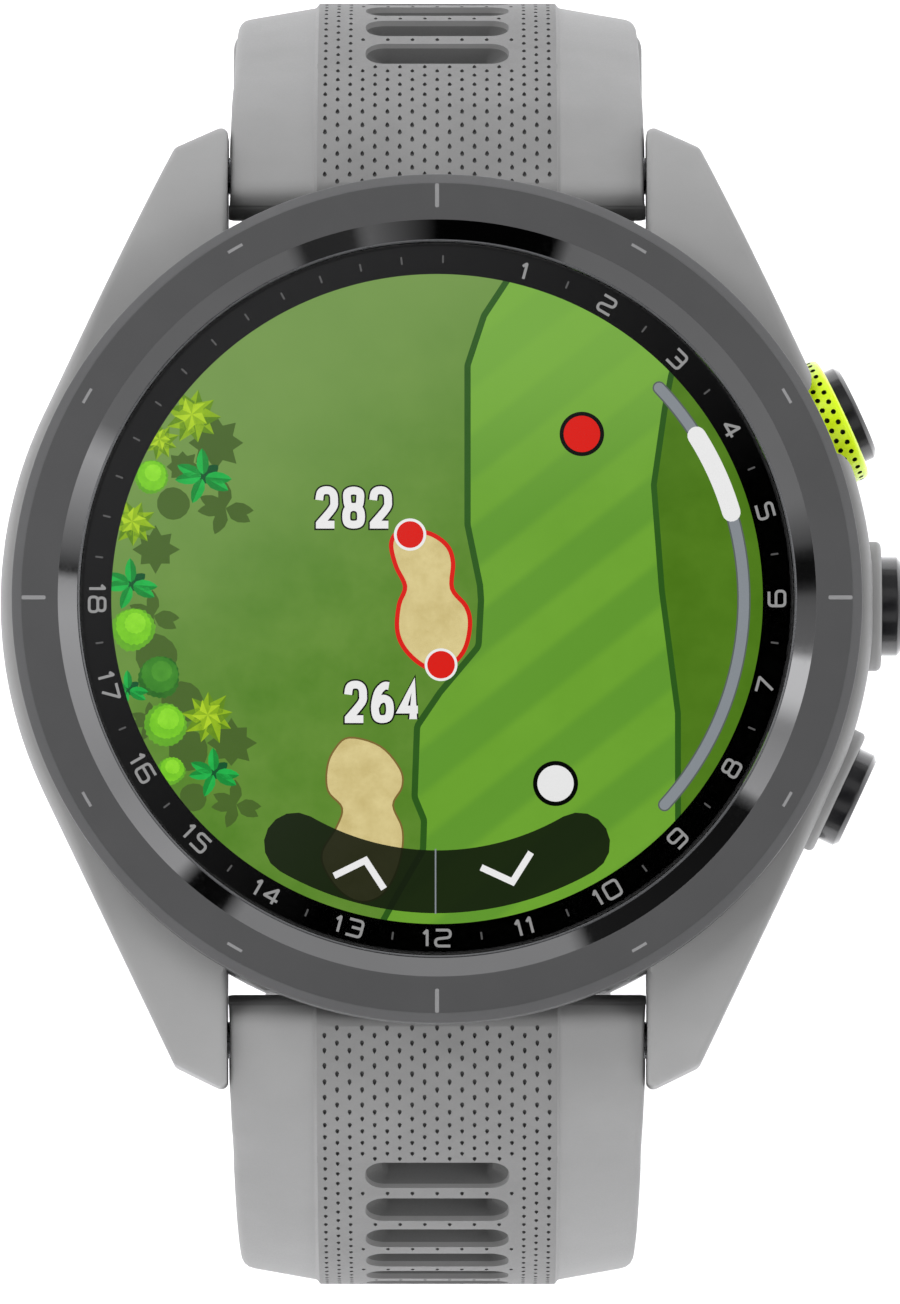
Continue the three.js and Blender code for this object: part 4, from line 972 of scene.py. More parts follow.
for which, deg in BTN.items():
    ax, org = radial(deg), (0, 0, BTN_Z)
    cap = lathe("button_cap_" + which, rounded([(0, 18.2), (0.8, 18.2), (0.8, 24.45), (2.1, 24.45), (2.1, 23.3), (2.7, 23.3), (2.7, 25.0), (2.42, 25.25), (2.05, 25.25), (1.85, 25.12), (0, 25.08)],
                                               [0, 0.05, 0.03, 0.05, 0.05, 0.05, 0.1, 0.1, 0.06, 0.1, 0], 3), 128)
    piece(turn_to(cap, ax, org), M["button"], "button_" + which, "button_black", "button_" + which, angle=30)
    if which != "upper":
        col = lathe("collar_" + which, rounded([(1.35, 22.45), (1.35, 19.95), (0.98, 19.95), (0.98, 19.55), (1.88, 19.55), (1.88, 21.8), (3.52, 21.8), (3.52, 24.15), (2.84, 24.15), (2.84, 22.45)],
                                               [0.02, 0, 0, 0, 0.05, 0, 0.05, 0.3, 0.12, 0], 5), 128)
        piece(turn_to(col, ax, org), M["case"], "case", "case_polymer", "button_collar_" + which, angle=30)
    else:
        # rounded lime collar with two staggered rows of small blind holes round it
        seg = 168
        prof = rounded([(1.35, 22.45), (1.35, 19.95), (0.98, 19.95), (0.98, 19.55), (1.88, 19.55), (1.88, 21.8), (3.52, 21.8), (3.52, 24.4), (2.84, 24.4), (2.84, 22.45)],
                       [0.02, 0, 0, 0, 0.05, 0, 0.05, 0.42, 0.16, 0], 6)
        col = lathe("collar_upper", prof, seg)
        pins = []
        for row, (zc, ph) in enumerate(((23.88, 0), (23.36, 0.5))):
            for k in range(36):
                a = 2 * math.pi * (k + ph) / 36
                r0, r1, rr = 3.22, 3.8, 0.145
                u = Vector((math.cos(a), math.sin(a), 0))
                v = Vector((-math.sin(a), math.cos(a), 0))
                w = Vector((0, 0, 1))
                ring_ = [[u * rad + v * (rr * math.cos(q * math.pi / 5)) + w * (zc + rr * math.sin(q * math.pi / 5)) for q in range(10)] for rad in (r0, r1)]
                V = [tuple(p) for rg in ring_ for p in rg]
                F = [tuple(range(10))[::-1], tuple(range(10, 20))] + [(q, (q + 1) % 10, 10 + (q + 1) % 10, 10 + q) for q in range(10)]
                pins.append((V, F))
        cut_ = joined("cut", pins)
        boolean(col, cut_)
        col.data.materials.append(None)
        col.data.materials.append(None)
        me = col.data
        # faces inside the small holes take the dark olive: painted shade in the holes
        idx = []
        for p in me.polygons:
            c = p.center / MM
            rr = math.hypot(c.x, c.y)
            n = p.normal
            side = abs(n.x * c.y - n.y * c.x) / max(rr, 1e-6)
            idx.append(1 if (23.1 < c.z < 24.12 and 3.2 < rr < 3.5 and (rr < 3.3 or side > 0.4 or abs(n.z) > 0.6)) else 0)
        me.polygons.foreach_set("material_index", idx)
        piece(turn_to(col, ax, org), [M["lime"], M["hole"]], "case", "lime_plastic", "button_collar_upper", angle=30)

# ------------------------------------------------------------------ straps
THETA = {"buckle": [(0, 32), (7, 54), (21.5, 90), (40, 98), (66, 150)], "tail": [(0, 32), (7, 54), (26.5, 90), (45, 95), (118, 178)]}
WIDTH = {"buckle": [(0, 11.15), (10, 11.15), (25, 10.9), (66, 10.2)],
         "tail": [(0, 11.15), (10, 11.15), (25, 10.9), (60, 10.2), (109, 10.0), (112.5, 9.4), (115.5, 7.8), (117.2, 5.6), (118, 3.4)]}
TOP = [(-2.95, 1.3), (-2.9, 1.7), (-2.78, 2.05), (-2.56, 2.28), (-2.25, 2.4), (0, 2.4), (3, 2.25), (5, 1.95), (7, 1.68), (9, 1.58), (13, 1.62), (22, 1.66), (32, 1.6), (41, 1.3)]
UNDER = [(-2.95, -1.15), (-2.9, -0.8), (-2.78, -0.4), (-2.56, 0.35), (-2.25, 1.05), (-1.85, 1.6), (-1.4, 1.9), (0, 1.95), (6, 1.95), (8.5, 1.4), (11, 1.15)]
DROP = [(0, 0.35), (12, 0.98), (200, 0.9)]


def at(table, s):
    x, y = np.array(table, float).T
    return np.interp(s, x, y)


class Path:
    """Centre line of a strap half: position and slope by length."""
    def __init__(self, kind):
        self.t = THETA[kind]
        ds = 0.02
        self.s = np.arange(-8, 126, ds)
        th = np.radians(at(self.t, self.s + ds / 2))
        y, z = np.cumsum(np.cos(th)) * ds, -np.cumsum(np.sin(th)) * ds
        y, z = np.concatenate([[0], y[:-1]]), np.concatenate([[0], z[:-1]])
        self.y, self.z = y - np.interp(0, self.s, y) + PIN_Y, z - np.interp(0, self.s, z) + PIN_Z

    def bend(self, P):
        """(x, s, v) to (x, y, z)."""
        s, v = P[:, 1], P[:, 2]
        th = np.radians(at(self.t, s))
        return np.stack([P[:, 0], np.interp(s, self.s, self.y) + v * np.sin(th), np.interp(s, self.s, self.z) + v * np.cos(th)], 1)


PATHS = {k: Path(k) for k in THETA}


def corner_pts(pts, radii, n):
    out, m = [], len(pts)
    for i in range(m):
        p, a, b_ = np.array(pts[i], float), np.array(pts[i - 1], float), np.array(pts[(i + 1) % m], float)
        r = radii[i]
        if r == 0:
            out.append(p)
            continue
        la, lb = np.linalg.norm(a - p), np.linalg.norm(b_ - p)
        t = min(r, la * 0.45, lb * 0.45)
        p0, p1 = p + (a - p) / la * t, p + (b_ - p) / lb * t
        for k in range(n + 1):
            f = k / n
            out.append((1 - f) ** 2 * p0 + 2 * f * (1 - f) * p + f * f * p1)
    return out


def strap_ring(w, s, squeeze=1.0):
    to, ti, e = at(TOP, s), at(UNDER, s), at(DROP, s)
    w = w + 0.07 * float(np.interp(s, [4, 8], [1, 0]))
    p = min(6.55, 0.62 * w)
    cb = float(np.interp(s, [-1.2, 3], [0.1, 0.45]))
    pts = [(-w, -ti + cb), (-w + cb * 1.1, -ti), (w - cb * 1.1, -ti), (w, -ti + cb), (w, to - e), (p + 0.16, to - 0.24), (p, to), (-p, to), (-p - 0.16, to - 0.24), (-w, to - e)]
    edge = float(np.interp(s, [2, 9], [0.22, 0.7]))
    if s < 7:
        wl = w + 0.14 * float(np.interp(s, [4, 6.5], [1, 0]))
        pts[0], pts[3] = (-wl, pts[0][1]), (wl, pts[3][1])
    q = corner_pts(pts, [cb * 0.45, cb, cb, cb * 0.45, edge, 0.1, 0.08, 0.08, 0.1, edge], 4)
    return [(x, v * squeeze) for x, v in q]


def strap_body(kind, length, slots):
    st = [-2.95, -2.9, -2.78, -2.56, -2.25, -1.85, -1.4, -0.7, 0.0] + list(np.arange(0.6, length - 1.2, 0.6))
    if kind == "tail":
        st += [length - 1.2, length - 0.8, length - 0.45, length - 0.2, length]
    else:
        st += [length]
    V, n = [], None
    for s in st:
        w = at(WIDTH[kind], s)
        sq = 1.0
        if kind == "tail" and s > length - 1.2:
            f = (s - (length - 1.2)) / 1.2
            sq = math.sqrt(max(0.0, 1 - f * f)) * 0.82 + 0.18
        ring_ = strap_ring(w, s, sq)
        n = len(ring_)
        V += [(x, s, v) for x, v in ring_]
    F = []
    for i in range(len(st) - 1):
        for j in range(n):
            a, b_ = i * n + j, i * n + (j + 1) % n
            F.append((a, b_, b_ + n, a + n))
    F.append(tuple(range(n))[::-1])
    F.append(tuple(range((len(st) - 1) * n, len(st) * n)))
    o = mesh_from("strap_" + kind + "_half", V, F)
    outward(o)

    def rod(r, hx, s, v=0.0, seg=48, round_end=0.0):
        prof = [(0, -hx), (r, -hx), (r, hx), (0, hx)]
        c = lathe("rod", rounded(prof, [0, round_end, round_end, 0], 4) if round_end else prof, seg)
        c.data.transform(Matrix.Translation((0, s * MM, v * MM)) @ Matrix.Rotation(math.pi / 2, 4, "Y"))
        outward(c)
        return c

    if kind == "buckle":
        boolean(o, rod(1.75, 10.1, length, 0, 56, 0.3), "UNION")
        boolean(o, rod(0.78, 12, length, 0, 32))
        c = prism("cut", [(-3.6, length - 3.4), (3.6, length - 3.4), (3.6, length + 4), (-3.6, length + 4)], -4, 4)
        bevel(c, 0.5, 2, 80)
        boolean(o, c)
        for sg in (1, -1):
            xs = sorted((sg * (at(WIDTH[kind], 56) - 0.55), sg * 13))
            boolean(o, prism("cut", [(xs[0], 53.2), (xs[1], 53.2), (xs[1], 58.8), (xs[0], 58.8)], -4, 4))
    # slots: straight through in the middle, scooped at both ends
    cuts = []
    for k in range(slots):
        s = 8.35 + 3.4 * k
        to = at(TOP, s)
        h, q, qi = 1.2, 3.94, 3.05
        outer = rounded([(q, h), (-q, h), (-q, -h), (q, -h)], 1.02, 8)
        inner = rounded([(qi, h * 0.93), (-qi, h * 0.93), (-qi, -h * 0.93), (qi, -h * 0.93)], 0.45, 8)
        m = len(outer)
        levels = [([(x, y) for x, y in inner], -3.2), (inner, to - 1.0), ([(x * 0.985, y * 0.99) for x, y in outer], to - 0.30), (outer, to + 0.02), ([(x * 1.012, y * 1.02) for x, y in outer], to + 0.6)]
        V = [(x, s + y, z) for pts, z in levels for x, y in pts]
        F = [tuple(range(m))[::-1], tuple(range((len(levels) - 1) * m, len(levels) * m))]
        for a in range(len(levels) - 1):
            F += [(a * m + i, a * m + (i + 1) % m, (a + 1) * m + (i + 1) % m, (a + 1) * m + i) for i in range(m)]
        cuts.append((V, F))
    boolean(o, joined("cut", cuts))
    # fine drop-shaped dimples in staggered columns over the raised panel
    pits = []
    drop = [(0.0, 0.26), (0.10, 0.12), (0.135, -0.03), (0.095, -0.15), (0.0, -0.20), (-0.095, -0.15), (-0.135, -0.03), (-0.10, 0.12)]
    for c in range(-9, 10):
        x = c * 0.68
        for r in range(int((length + 3) / 0.94) + 1):
            s = -2.15 + 0.94 * r + (0.47 if c % 2 else 0)
            w = at(WIDTH[kind], s)
            if s > length - (5.6 if kind == "buckle" else 2.6) or abs(x) > min(6.55, 0.62 * w) - 0.36:
                continue
            k = round((s - 8.35) / 3.4)
            if 0 <= k < slots and abs(s - 8.35 - 3.4 * k) < 1.47 and abs(x) < 4.2 - 0.0 * abs(s - 8.35 - 3.4 * k):
                continue
            to = at(TOP, s)
            slope = (at(TOP, s + 0.2) - at(TOP, s - 0.2)) / 0.4
            V = [(x + a, s + b_, to + slope * b_ + 0.10) for a, b_ in drop] + [(x + a * 0.6, s + b_ * 0.6, to + slope * b_ - 0.13) for a, b_ in drop]
            F = [tuple(range(8))[::-1], tuple(range(8, 16))] + [(i, (i + 1) % 8, 8 + (i + 1) % 8, 8 + i) for i in range(8)]
            pits.append((V, F))
    boolean(o, joined("cut", pits))
    bm = bmesh.new()
    bm.from_mesh(o.data)
    bmesh.ops.triangulate(bm, faces=bm.faces)
    P = np.array([tuple(v.co) for v in bm.verts]) / MM
    for f in bm.faces:
        c = f.calc_center_median() / MM
        to = at(TOP, c.y)
        p = min(6.55, 0.62 * at(WIDTH[kind], c.y))
        if c.z > to - 0.02 and abs(c.x) < p + 0.02:
            f.material_index = 1
        else:
            k = round((c.y - 8.35) / 3.4)
            in_slot = 0 <= k < slots and abs(c.y - 8.35 - 3.4 * k) < 1.22 and abs(c.x) < 3.97
            # the deeper slot walls take the darker silicone: painted shade inside the slots
            if in_slot and abs(f.normal.z) < 0.97:
                f.material_index = 3 if c.z < to - 0.32 else 1
            # small faces just under the panel top, the dimples' insides, take the darker silicone: painted shade in the
            # dimples
            elif not in_slot and to - 0.2 < c.z <= to - 0.02 and abs(c.x) < p - 0.1 and f.calc_area() / MM ** 2 < 0.05:
                f.material_index = 2
    Q = PATHS[kind].bend(P) * MM
    for v, q in zip(bm.verts, Q):
        v.co = q
    bm.to_mesh(o.data)
    bm.free()
    # the slot that takes the lug pin, and the pocket for clip and latch
    def cutter(pts, x0, x1):
        n_ = len(pts)
        V = [(x0, u, v) for u, v in pts] + [(x1, u, v) for u, v in pts]
        F = [tuple(range(n_))[::-1], tuple(range(n_, 2 * n_))] + [(i, (i + 1) % n_, n_ + (i + 1) % n_, n_ + i) for i in range(n_)]
        c = mesh_from("cut", V, F)
        c.data.transform(frame_uv(PIN_Y, PIN_Z, 38))
        outward(c)
        return c
    boolean(o, cutter([(1.2 * math.cos(i * math.pi / 12), 1.2 * math.sin(i * math.pi / 12)) for i in range(13)] + [(-1.2, -4), (1.2, -4)], -12, 12))
    boolean(o, cutter([(-1.98, -4), (4.68, -4), (4.68, 1.07), (1.55, 1.82), (-1.0, 1.82), (-1.98, 1.08)], -8.9, 8.9))
    boolean(o, cutter([(4, -4), (7.0, -4), (7.0, -1.1), (4, -1.1)], -4.25, 4.25))
    outward(o)
    return o


HALF_TURN = Matrix.Rotation(math.pi, 4, "Z")
sb = strap_body("buckle", 66, 7)
piece(sb, [M["strap"], M["panel"], M["pit_shade"], M["slotwall_shade"]], "strap_12", "strap_silicone", "strap_buckle_half", angle=40)
st_ = strap_body("tail", 118, 30)
st_.data.transform(HALF_TURN)
piece(st_, [M["strap"], M["panel"], M["pit_shade"], M["slotwall_shade"]], "strap_6", "strap_silicone", "strap_tail_half", angle=40)
print("strap faces", len(sb.data.polygons), len(st_.data.polygons))

# ------------------------------------------------------------------ clips, latches, pins
for tag in ("12", "6"):
    for node, body, w in (("strap_clip_" + tag, "strap_" + tag, 0.12), ("clip_latch_" + tag, "latch_" + tag, 0.09)):
        piece(copy_cad(node + "_bevelled", node, w, 2, 25), M["steel"], body, "steel", node, angle=30)
    rod = lathe("lug_pin_round_" + tag, rounded([(0, -14.0), (1.0, -14.0), (1.0, 14.0), (0, 14.0)], [0, 0.2, 0.2, 0], 3), 48)
    sgn = 1 if tag == "12" else -1
    piece(turn_to(rod, (1, 0, 0), (0, sgn * PIN_Y, PIN_Z)), M["steel"], "case", "steel", "lug_pin_" + tag)

# ------------------------------------------------------------------ springs
def coil(name, r, wire, a0, a1, turns, closed_ends=0.9, seg=12, per=40):
    """A round-wire coil wound along Z between two heights, its end turns closed up."""
    h0, h1 = a0 + wire, a1 - wire
    n = int(turns * per)
    V, F = [], []
    for i in range(n + 1):
        t = i / n * turns
        lo, hi = 0.06 * closed_ends, 1 - 0.06 * closed_ends
        if t < closed_ends:
            f = lo * t / closed_ends
        elif t > turns - closed_ends:
            f = hi + (1 - hi) * (t - (turns - closed_ends)) / closed_ends
        else:
            f = lo + (hi - lo) * (t - closed_ends) / (turns - 2 * closed_ends)
        a = 2 * math.pi * t
        c = Vector((r * math.cos(a), r * math.sin(a), h0 + (h1 - h0) * f))
        u, w_ = Vector((math.cos(a), math.sin(a), 0)), Vector((0, 0, 1))
        V += [tuple(c + u * (wire * math.cos(2 * math.pi * k / seg)) + w_ * (wire * math.sin(2 * math.pi * k / seg))) for k in range(seg)]
    for i in range(n):
        for k in range(seg):
            F.append((i * seg + k, i * seg + (k + 1) % seg, (i + 1) * seg + (k + 1) % seg, (i + 1) * seg + k))
    F += [tuple(range(seg))[::-1], tuple(range(n * seg, (n + 1) * seg))]
    o = mesh_from(name, V, F)
    outward(o)
    return o


for which, deg in BTN.items():
    ax = radial(deg)
    c = piece(turn_to(coil("button_return_spring_" + which, 1.72, 0.12, 22.66, 24.24, 4), ax, (0, 0, BTN_Z)), M["steel"], "case", "steel", "button_spring_" + which, angle=60)
    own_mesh(c)
for tag, sgn in (("12", 1), ("6", -1)):
    t = math.radians(38)
    ax = (0, sgn * math.cos(t), -math.sin(t))
    org = (0, sgn * (PIN_Y - 1.62 * math.sin(t)), PIN_Z - 1.62 * math.cos(t))
    c = piece(turn_to(coil("latch_return_spring_" + tag, 0.34, 0.07, 4.5, 6.88, 5), ax, org), M["steel"], "strap_" + tag, "steel", "latch_spring_" + tag, angle=60)
    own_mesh(c)

# ------------------------------------------------------------------ buckle and keepers
BY, BZ, BDEG = 17.761, -52.372, 93


def frame_part(name, outline_xu, v0, v1, bev, seg=3):
    o = prism(name, outline_xu, v0, v1)
    bevel(o, bev, seg, 50)
    return o


def arc_xu(cx, cu, r, a0, a1, n=10):
    return [(cx + r * math.cos(math.radians(a0 + (a1 - a0) * k / n)), cu + r * math.sin(math.radians(a0 + (a1 - a0) * k / n))) for k in range(n + 1)]


right = [(10.5, -1.7)] + arc_xu(10.7, -0.55, 1.15, -90, 0, 8) + arc_xu(8.65, 10.6, 3.2, 0, 90, 12)
inner = arc_xu(8.3, 8.4, 2.2, 0, 90, 10)
outl = right + [(-x, u) for x, u in right[::-1]] + [(-x, u) for x, u in inner] + inner[::-1]
bf = frame_part("buckle_frame_rounded", outl, -1.15, 1.15, 0.42, 4)
bf.data.transform(frame_uv(BY, BZ, BDEG))
boolean(bf, cylinder("cut", 0.76, -12.1, 12.1, (1, 0, 0), (0, BY, BZ), 32))
V = [(x, u, v) for x in (-9.2, 9.2) for u, v in ((10.75, -2), (13.9, -2), (13.9, -0.55), (10.75, -0.25))]
c = mesh_from("cut", V, [(0, 1, 2, 3), (7, 6, 5, 4), (0, 4, 5, 1), (1, 5, 6, 2), (2, 6, 7, 3), (3, 7, 4, 0)])
c.data.transform(frame_uv(BY, BZ, BDEG))
outward(c)
boolean(bf, c)
outward(bf)
piece(bf, M["dark_steel"], "buckle_frame", "steel", "buckle_frame", angle=35)
pin = lathe("buckle_pin_round", rounded([(0, -11.7), (0.7, -11.7), (0.7, 11.7), (0, 11.7)], [0, 0.12, 0.12, 0], 3), 40)
piece(turn_to(pin, (1, 0, 0), (0, BY, BZ)), M["steel"], "strap_12", "steel", "buckle_pin")
piece(copy_cad("buckle_tongue_bevelled", "buckle_tongue", 0.16, 3, 25), M["steel"], "buckle_tongue", "steel", "buckle_tongue", angle=30)


def keeper(name, s, fit, wi):
    p = PATHS["buckle"]
    w = at(WIDTH["buckle"], s) + fit
    v0, v1, vi0, vi1 = -2.6, 5.3, -1.42, 4.1
    q = rounded([(-w - wi, v0), (w + wi, v0), (w + wi, v1), (-w - wi, v1)], [0.9, 0.9, 1.5, 1.5], 8)
    qi = rounded([(-w, vi0), (w, vi0), (w, vi1), (-w, vi1)], [0.25, 0.25, 0.8, 0.8], 8)
    n = len(q)
    us = [(-2.6, 0.28), (-2.5, 0.1), (-2.3, 0.0), (2.3, 0.0), (2.5, 0.1), (2.6, 0.28)]
    V = []
    for ring_, sg in ((q, 1), (qi, 0.25)):
        for u, shr in us:
            k = shr * sg
            for x, v in ring_:
                cx, cv = x / max(abs(x), 1e-6), (v - 1.3) / max(abs(v - 1.3), 1e-6)
                if sg == 1:
                    V.append((x - cx * k, u, v - cv * k))
                else:
                    V.append((x + cx * k, u, v + cv * k))
    m = len(us)
    F = []
    for a in range(m - 1):
        for i in range(n):
            j = (i + 1) % n
            F.append((a * n + i, a * n + j, (a + 1) * n + j, (a + 1) * n + i))
            b0 = (m + a) * n
            F.append((b0 + i, b0 + n + i, b0 + n + j, b0 + j))
    for a in (0, m - 1):
        for i in range(n):
            j = (i + 1) % n
            f = (a * n + i, (m + a) * n + i, (m + a) * n + j, a * n + j)
            F.append(f if a == 0 else f[::-1])
    o = mesh_from(name, V, F)
    outward(o)
    y, z = float(np.interp(s, p.s, p.y)), float(np.interp(s, p.s, p.z))
    o.data.transform(frame_uv(y, z, float(at(p.t, s))))
    return o


piece(keeper("keeper_fixed_loop", 56, -0.3, 1.2), M["strap"], "strap_12", "strap_silicone", "keeper_fixed", angle=40)
piece(keeper("keeper_free_loop", 46.5, 0.45, 0.65), M["strap"], "keeper_free", "strap_silicone", "keeper_free", angle=40)

# ------------------------------------------------------------------ the back
bc = lathe("back_cover_disc", rounded([(9.95, 1.25), (19.7, 1.25), (19.7, 2.8), (9.95, 2.8)], [0.12, 0.35, 0, 0], 4), 192)
boolean(bc, prism("cut", rounded([(-4.1, -16.1), (4.1, -16.1), (4.1, -12.9), (-4.1, -12.9)], 0.5, 4), 0, 4))
for k in range(4):
    nd = NODES["back_screw_" + str(k + 1)]
    xs = [(nd.matrix_world @ v.co) for v in nd.data.vertices]
    cx, cy = (min(p.x for p in xs) + max(p.x for p in xs)) / 2 / MM, (min(p.y for p in xs) + max(p.y for p in xs)) / 2 / MM
    zz = sorted(p.z / MM for p in xs)
    boolean(bc, cylinder("cut", 1.4, 0, 1.4 + 0.66, (0, 0, 1), (cx, cy, 0), 40))
    boolean(bc, cylinder("cut", 0.95, 1, 4, (0, 0, 1), (cx, cy, 0), 32))
    piece(copy_cad("back_screw_%d_bevelled" % (k + 1), "back_screw_" + str(k + 1), 0.05, 2, 30), M["dark_steel"], "case", "steel", "back_screw_" + str(k + 1), angle=30)
outward(bc)
piece(bc, M["back"], "case", "back_plastic", "back_cover", angle=38)
win = lathe("sensor_window_dome", rounded([(0, 0.0), (7.2, 0.0), (7.6, 0.03), (8.7, 0.35), (9.85, 1.0), (9.85, 1.9), (7.2, 1.9), (7.2, 0.75), (0, 0.75)], [0, 0, 0.3, 0.8, 0.12, 0.05, 0, 0.1, 0], 5), 160)
piece(win, M["sensor"], "case", "sensor_lens", "sensor_window", angle=40)
eyes = []
for x, y, rx, ry in ((0, 0, 1.7, 1.35), (4.5, 0, 1.45, 1.9), (-4.5, 0, 1.45, 1.9), (0, 4.5, 1.9, 1.3), (0, -4.5, 1.9, 1.3)):
    q = rounded([(x - rx, y - ry), (x + rx, y - ry), (x + rx, y + ry), (x - rx, y + ry)], 0.55, 5)
    n_ = len(q)
    eyes.append(([(a_, b_, -0.006) for a_, b_ in q] + [(a_, b_, 0.03) for a_, b_ in q], [tuple(range(n_)), tuple(range(n_, 2 * n_))[::-1]] + [(i, (i + 1) % n_, n_ + (i + 1) % n_, n_ + i) for i in range(n_)]))
piece(joined("sensor_window_eyes", eyes), M["eye"], "case", "sensor_lens")
rim_ring = lathe("sensor_window_ring", [(7.0, -0.004), (7.12, -0.004), (7.12, 0.03), (7.0, 0.03)], 128)
piece(rim_ring, M["inner"], "case", "sensor_lens")
for k in range(4):
    piece(copy_cad("charge_contact_%d_bevelled" % (k + 1), "charge_contact_" + str(k + 1), 0.06, 2, 30), M["gold"], "case", "gold_contact", "charge_contact_" + str(k + 1), angle=30)

# ------------------------------------------------------------------ light, floor, camera
floor = mesh_from("floor", [(-2500, -2500, -84.6), (2500, -2500, -84.6), (2500, 2500, -84.6), (-2500, 2500, -84.6)], [(0, 1, 2, 3)])
fm, nt, b = nodes_of("floor_paper")
n = tex_noise(nt, 12, 2.0)
r = ramp_between(nt, n.outputs["Fac"], srgb(236, 236, 238), srgb(240, 240, 242))
nt.links.new(r.outputs["Color"], b.inputs["Base Color"])
b.inputs["Roughness"].default_value = 0.9
b.inputs["Specular IOR Level"].default_value = 0.1
b.inputs["Emission Color"].default_value = (0.9, 0.9, 0.91, 1)
b.inputs["Emission Strength"].default_value = 0.16
floor.data.materials.append(fm)


def area(name, az, el, dist, size, power, size_y=None, colour=(1, 1, 1), glossy=False):
    """A soft panel; az is clockwise from 12 o'clock as seen from above."""
    d = bpy.data.lights.new(name, "AREA")
    d.shape = "RECTANGLE"
    d.size, d.size_y = size, size_y or size
    d.energy, d.color = power, colour
    o = bpy.data.objects.new(name, d)
    bpy.context.scene.collection.objects.link(o)
    a, e = math.radians(90 - az), math.radians(el)
    pos = Vector((math.cos(a) * math.cos(e), math.sin(a) * math.cos(e), math.sin(e))) * dist
    o.location = pos
    o.rotation_euler = (-pos).to_track_quat("-Z", "Y").to_euler()
    o.visible_glossy = glossy
    o.visible_transmission = glossy
    return o


area("softbox_top_left", -50, 52, 1.3, 0.9, 14.0, 0.7)
area("strip_12", 5, 26, 1.2, 0.9, 7.5, 0.4)
area("strip_6", 183, 26, 1.2, 0.9, 9.0, 0.4)
area("softbox_right", 100, 40, 1.3, 0.5, 9.0, 0.7)
area("softbox_low_left", 235, 35, 1.3, 0.8, 6.0, 0.6)

w = bpy.data.worlds.new("studio")
bpy.context.scene.world = w
w.use_nodes = True
nt = w.node_tree
bg = nt.nodes["Background"]
tc = nt.nodes.new("ShaderNodeTexCoord")
sep = nt.nodes.new("ShaderNodeSeparateXYZ")
nt.links.new(tc.outputs["Generated"], sep.inputs[0])


def ramp(stops, interpolation="LINEAR"):
    n = nt.nodes.new("ShaderNodeValToRGB")
    n.color_ramp.interpolation = interpolation
    el = n.color_ramp.elements
    while len(el) < len(stops):
        el.new(0.5)
    for e, (p, v) in zip(el, sorted(stops)):
        e.position, e.color = p, (v, v, v, 1)
    return n


def math_node(op, a, b_=None):
    n = nt.nodes.new("ShaderNodeMath")
    n.operation = op
    for i, v in enumerate((a, b_)):
        if v is None:
            continue
        if isinstance(v, (int, float)):
            n.inputs[i].default_value = v
        else:
            nt.links.new(v, n.inputs[i])
    return n.outputs[0]


# up the sky: pale low down, darker straight overhead
up = ramp([(0.0, 0.62), (0.93, 0.50), (0.975, 0.10), (1.0, 0.02)])
nt.links.new(sep.outputs["Z"], up.inputs["Fac"])
# round the room: panels and dark flags at the height the lens bevel mirrors
lin = lambda v: srgb(v, v, v)[0] / 0.72
turn = math_node("ADD", math_node("DIVIDE", math_node("ARCTAN2", math_node("MULTIPLY", sep.outputs["X"], -1.0), math_node("MULTIPLY", sep.outputs["Y"], -1.0)), 2 * math.pi), 1.0)
turn = math_node("FRACT", turn)
panels = [(0, 2), (19, 2), (20.5, 95), (75, 102), (82, 60), (83, 12), (88, 14), (90, 78), (98, 88), (99.5, 184), (106, 180), (110, 118), (122, 142), (123, 14), (156, 24),
          (158, 120), (213, 118), (214, 6), (222, 6), (223, 140), (240, 128), (268, 148), (273, 140), (274, 20), (278, 88), (293, 150), (298, 96), (337, 94), (339, 36), (347, 38), (349, 88), (360, 2)]
rnd = ramp([((a_ + 4.5 * math.sin(math.radians(a_))) / 360, lin(v)) for a_, v in panels])
nt.links.new(turn, rnd.inputs["Fac"])
band = ramp([(0.0, 0), (0.22, 0), (0.28, 1), (0.74, 1), (0.80, 0), (1.0, 0)])
nt.links.new(sep.outputs["Z"], band.inputs["Fac"])
mixw = nt.nodes.new("ShaderNodeMix")
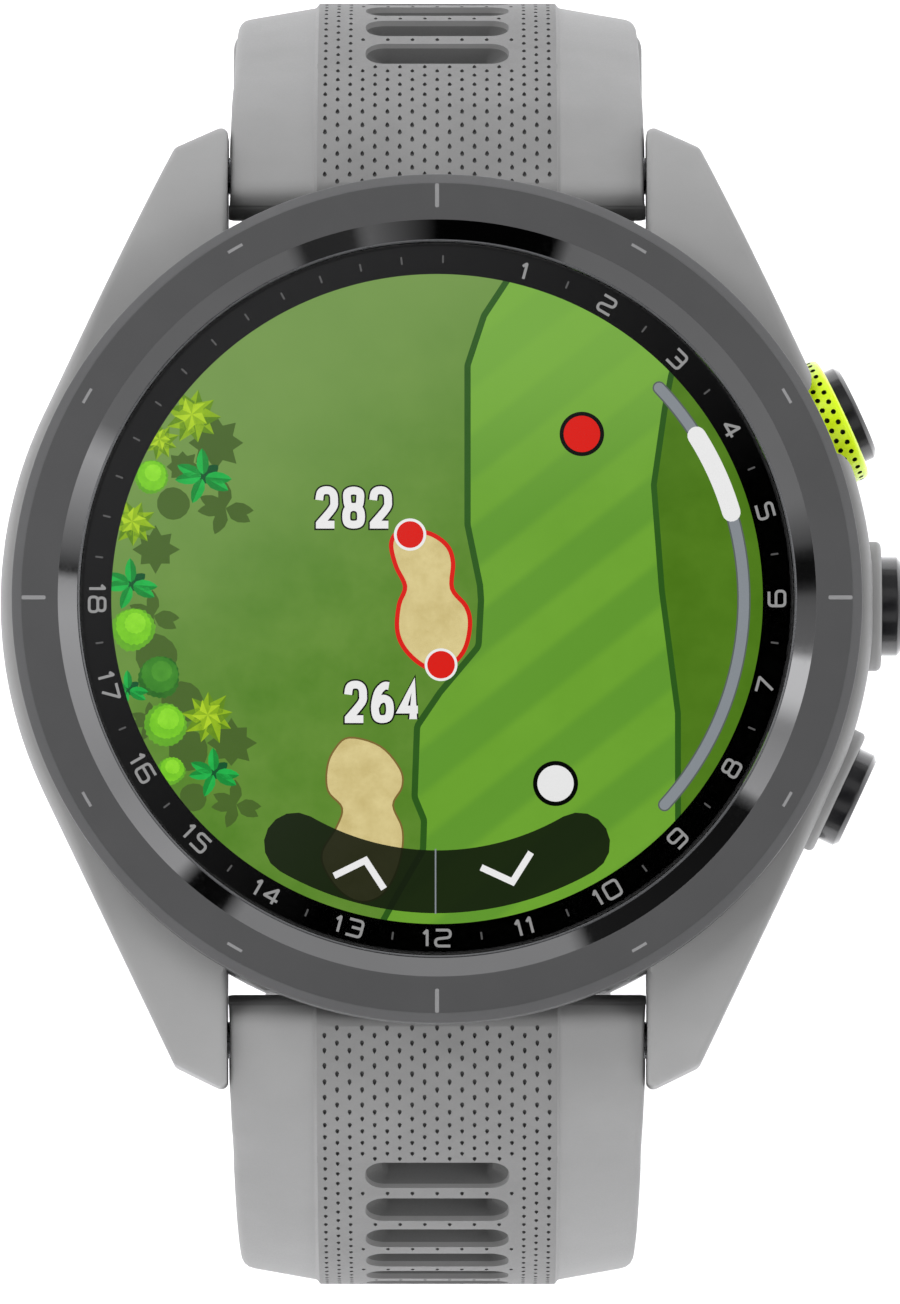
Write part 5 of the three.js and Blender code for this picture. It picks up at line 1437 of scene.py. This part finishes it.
mixw.data_type = "RGBA"
nt.links.new(band.outputs["Color"], mixw.inputs[0])
nt.links.new(up.outputs["Color"], mixw.inputs[6])
nt.links.new(rnd.outputs["Color"], mixw.inputs[7])
nt.links.new(mixw.outputs[2], bg.inputs["Color"])
bg.inputs["Strength"].default_value = 1.0

card = mesh_from("card", [(-330, -60, 1213), (120, -60, 1213), (120, 420, 1213), (-330, 420, 1213)], [(0, 3, 2, 1)])
cm, nt, b = nodes_of("card_gradient")
b.inputs["Base Color"].default_value = (0, 0, 0, 1)
b.inputs["Specular IOR Level"].default_value = 0.0
b.inputs["Emission Strength"].default_value = 1.0
tc = nt.nodes.new("ShaderNodeTexCoord")
dt = nt.nodes.new("ShaderNodeVectorMath")
dt.operation = "DOT_PRODUCT"
dt.inputs[1].default_value = (-0.707, 0.707, 0)
nt.links.new(tc.outputs["Object"], dt.inputs[0])
mr = nt.nodes.new("ShaderNodeMapRange")
mr.inputs["From Min"].default_value, mr.inputs["From Max"].default_value = 0.050 - 0.012, 0.050 + 0.045
mr.inputs["To Min"].default_value, mr.inputs["To Max"].default_value = 0.0, 1.0
nt.links.new(dt.outputs["Value"], mr.inputs["Value"])
cr = ramp_between(nt, mr.outputs["Result"], (0.0, 0.0, 0.0, 1), (0.36, 0.36, 0.37, 1), 0.0, 1.0)
nt.links.new(cr.outputs["Color"], b.inputs["Emission Color"])
card.data.materials.append(cm)
card.visible_camera = False

cam = bpy.data.cameras.new("camera")
cam.sensor_fit, cam.sensor_height, cam.sensor_width = "VERTICAL", 24, 24
cam.lens = 323.4
cam.clip_end = 20
co = bpy.data.objects.new("camera", cam)
bpy.context.scene.collection.objects.link(co)
aim, el = Vector((0.70, -2.9, 13.0)) * MM, math.radians(86.5)
co.location = aim + Vector((0, -math.cos(el), math.sin(el))) * 0.95
co.rotation_euler = (aim - co.location).to_track_quat("-Z", "Y").to_euler()
bpy.context.scene.camera = co
bpy.context.scene.view_settings.view_transform = "Standard"
bpy.context.scene.view_settings.look = "None"
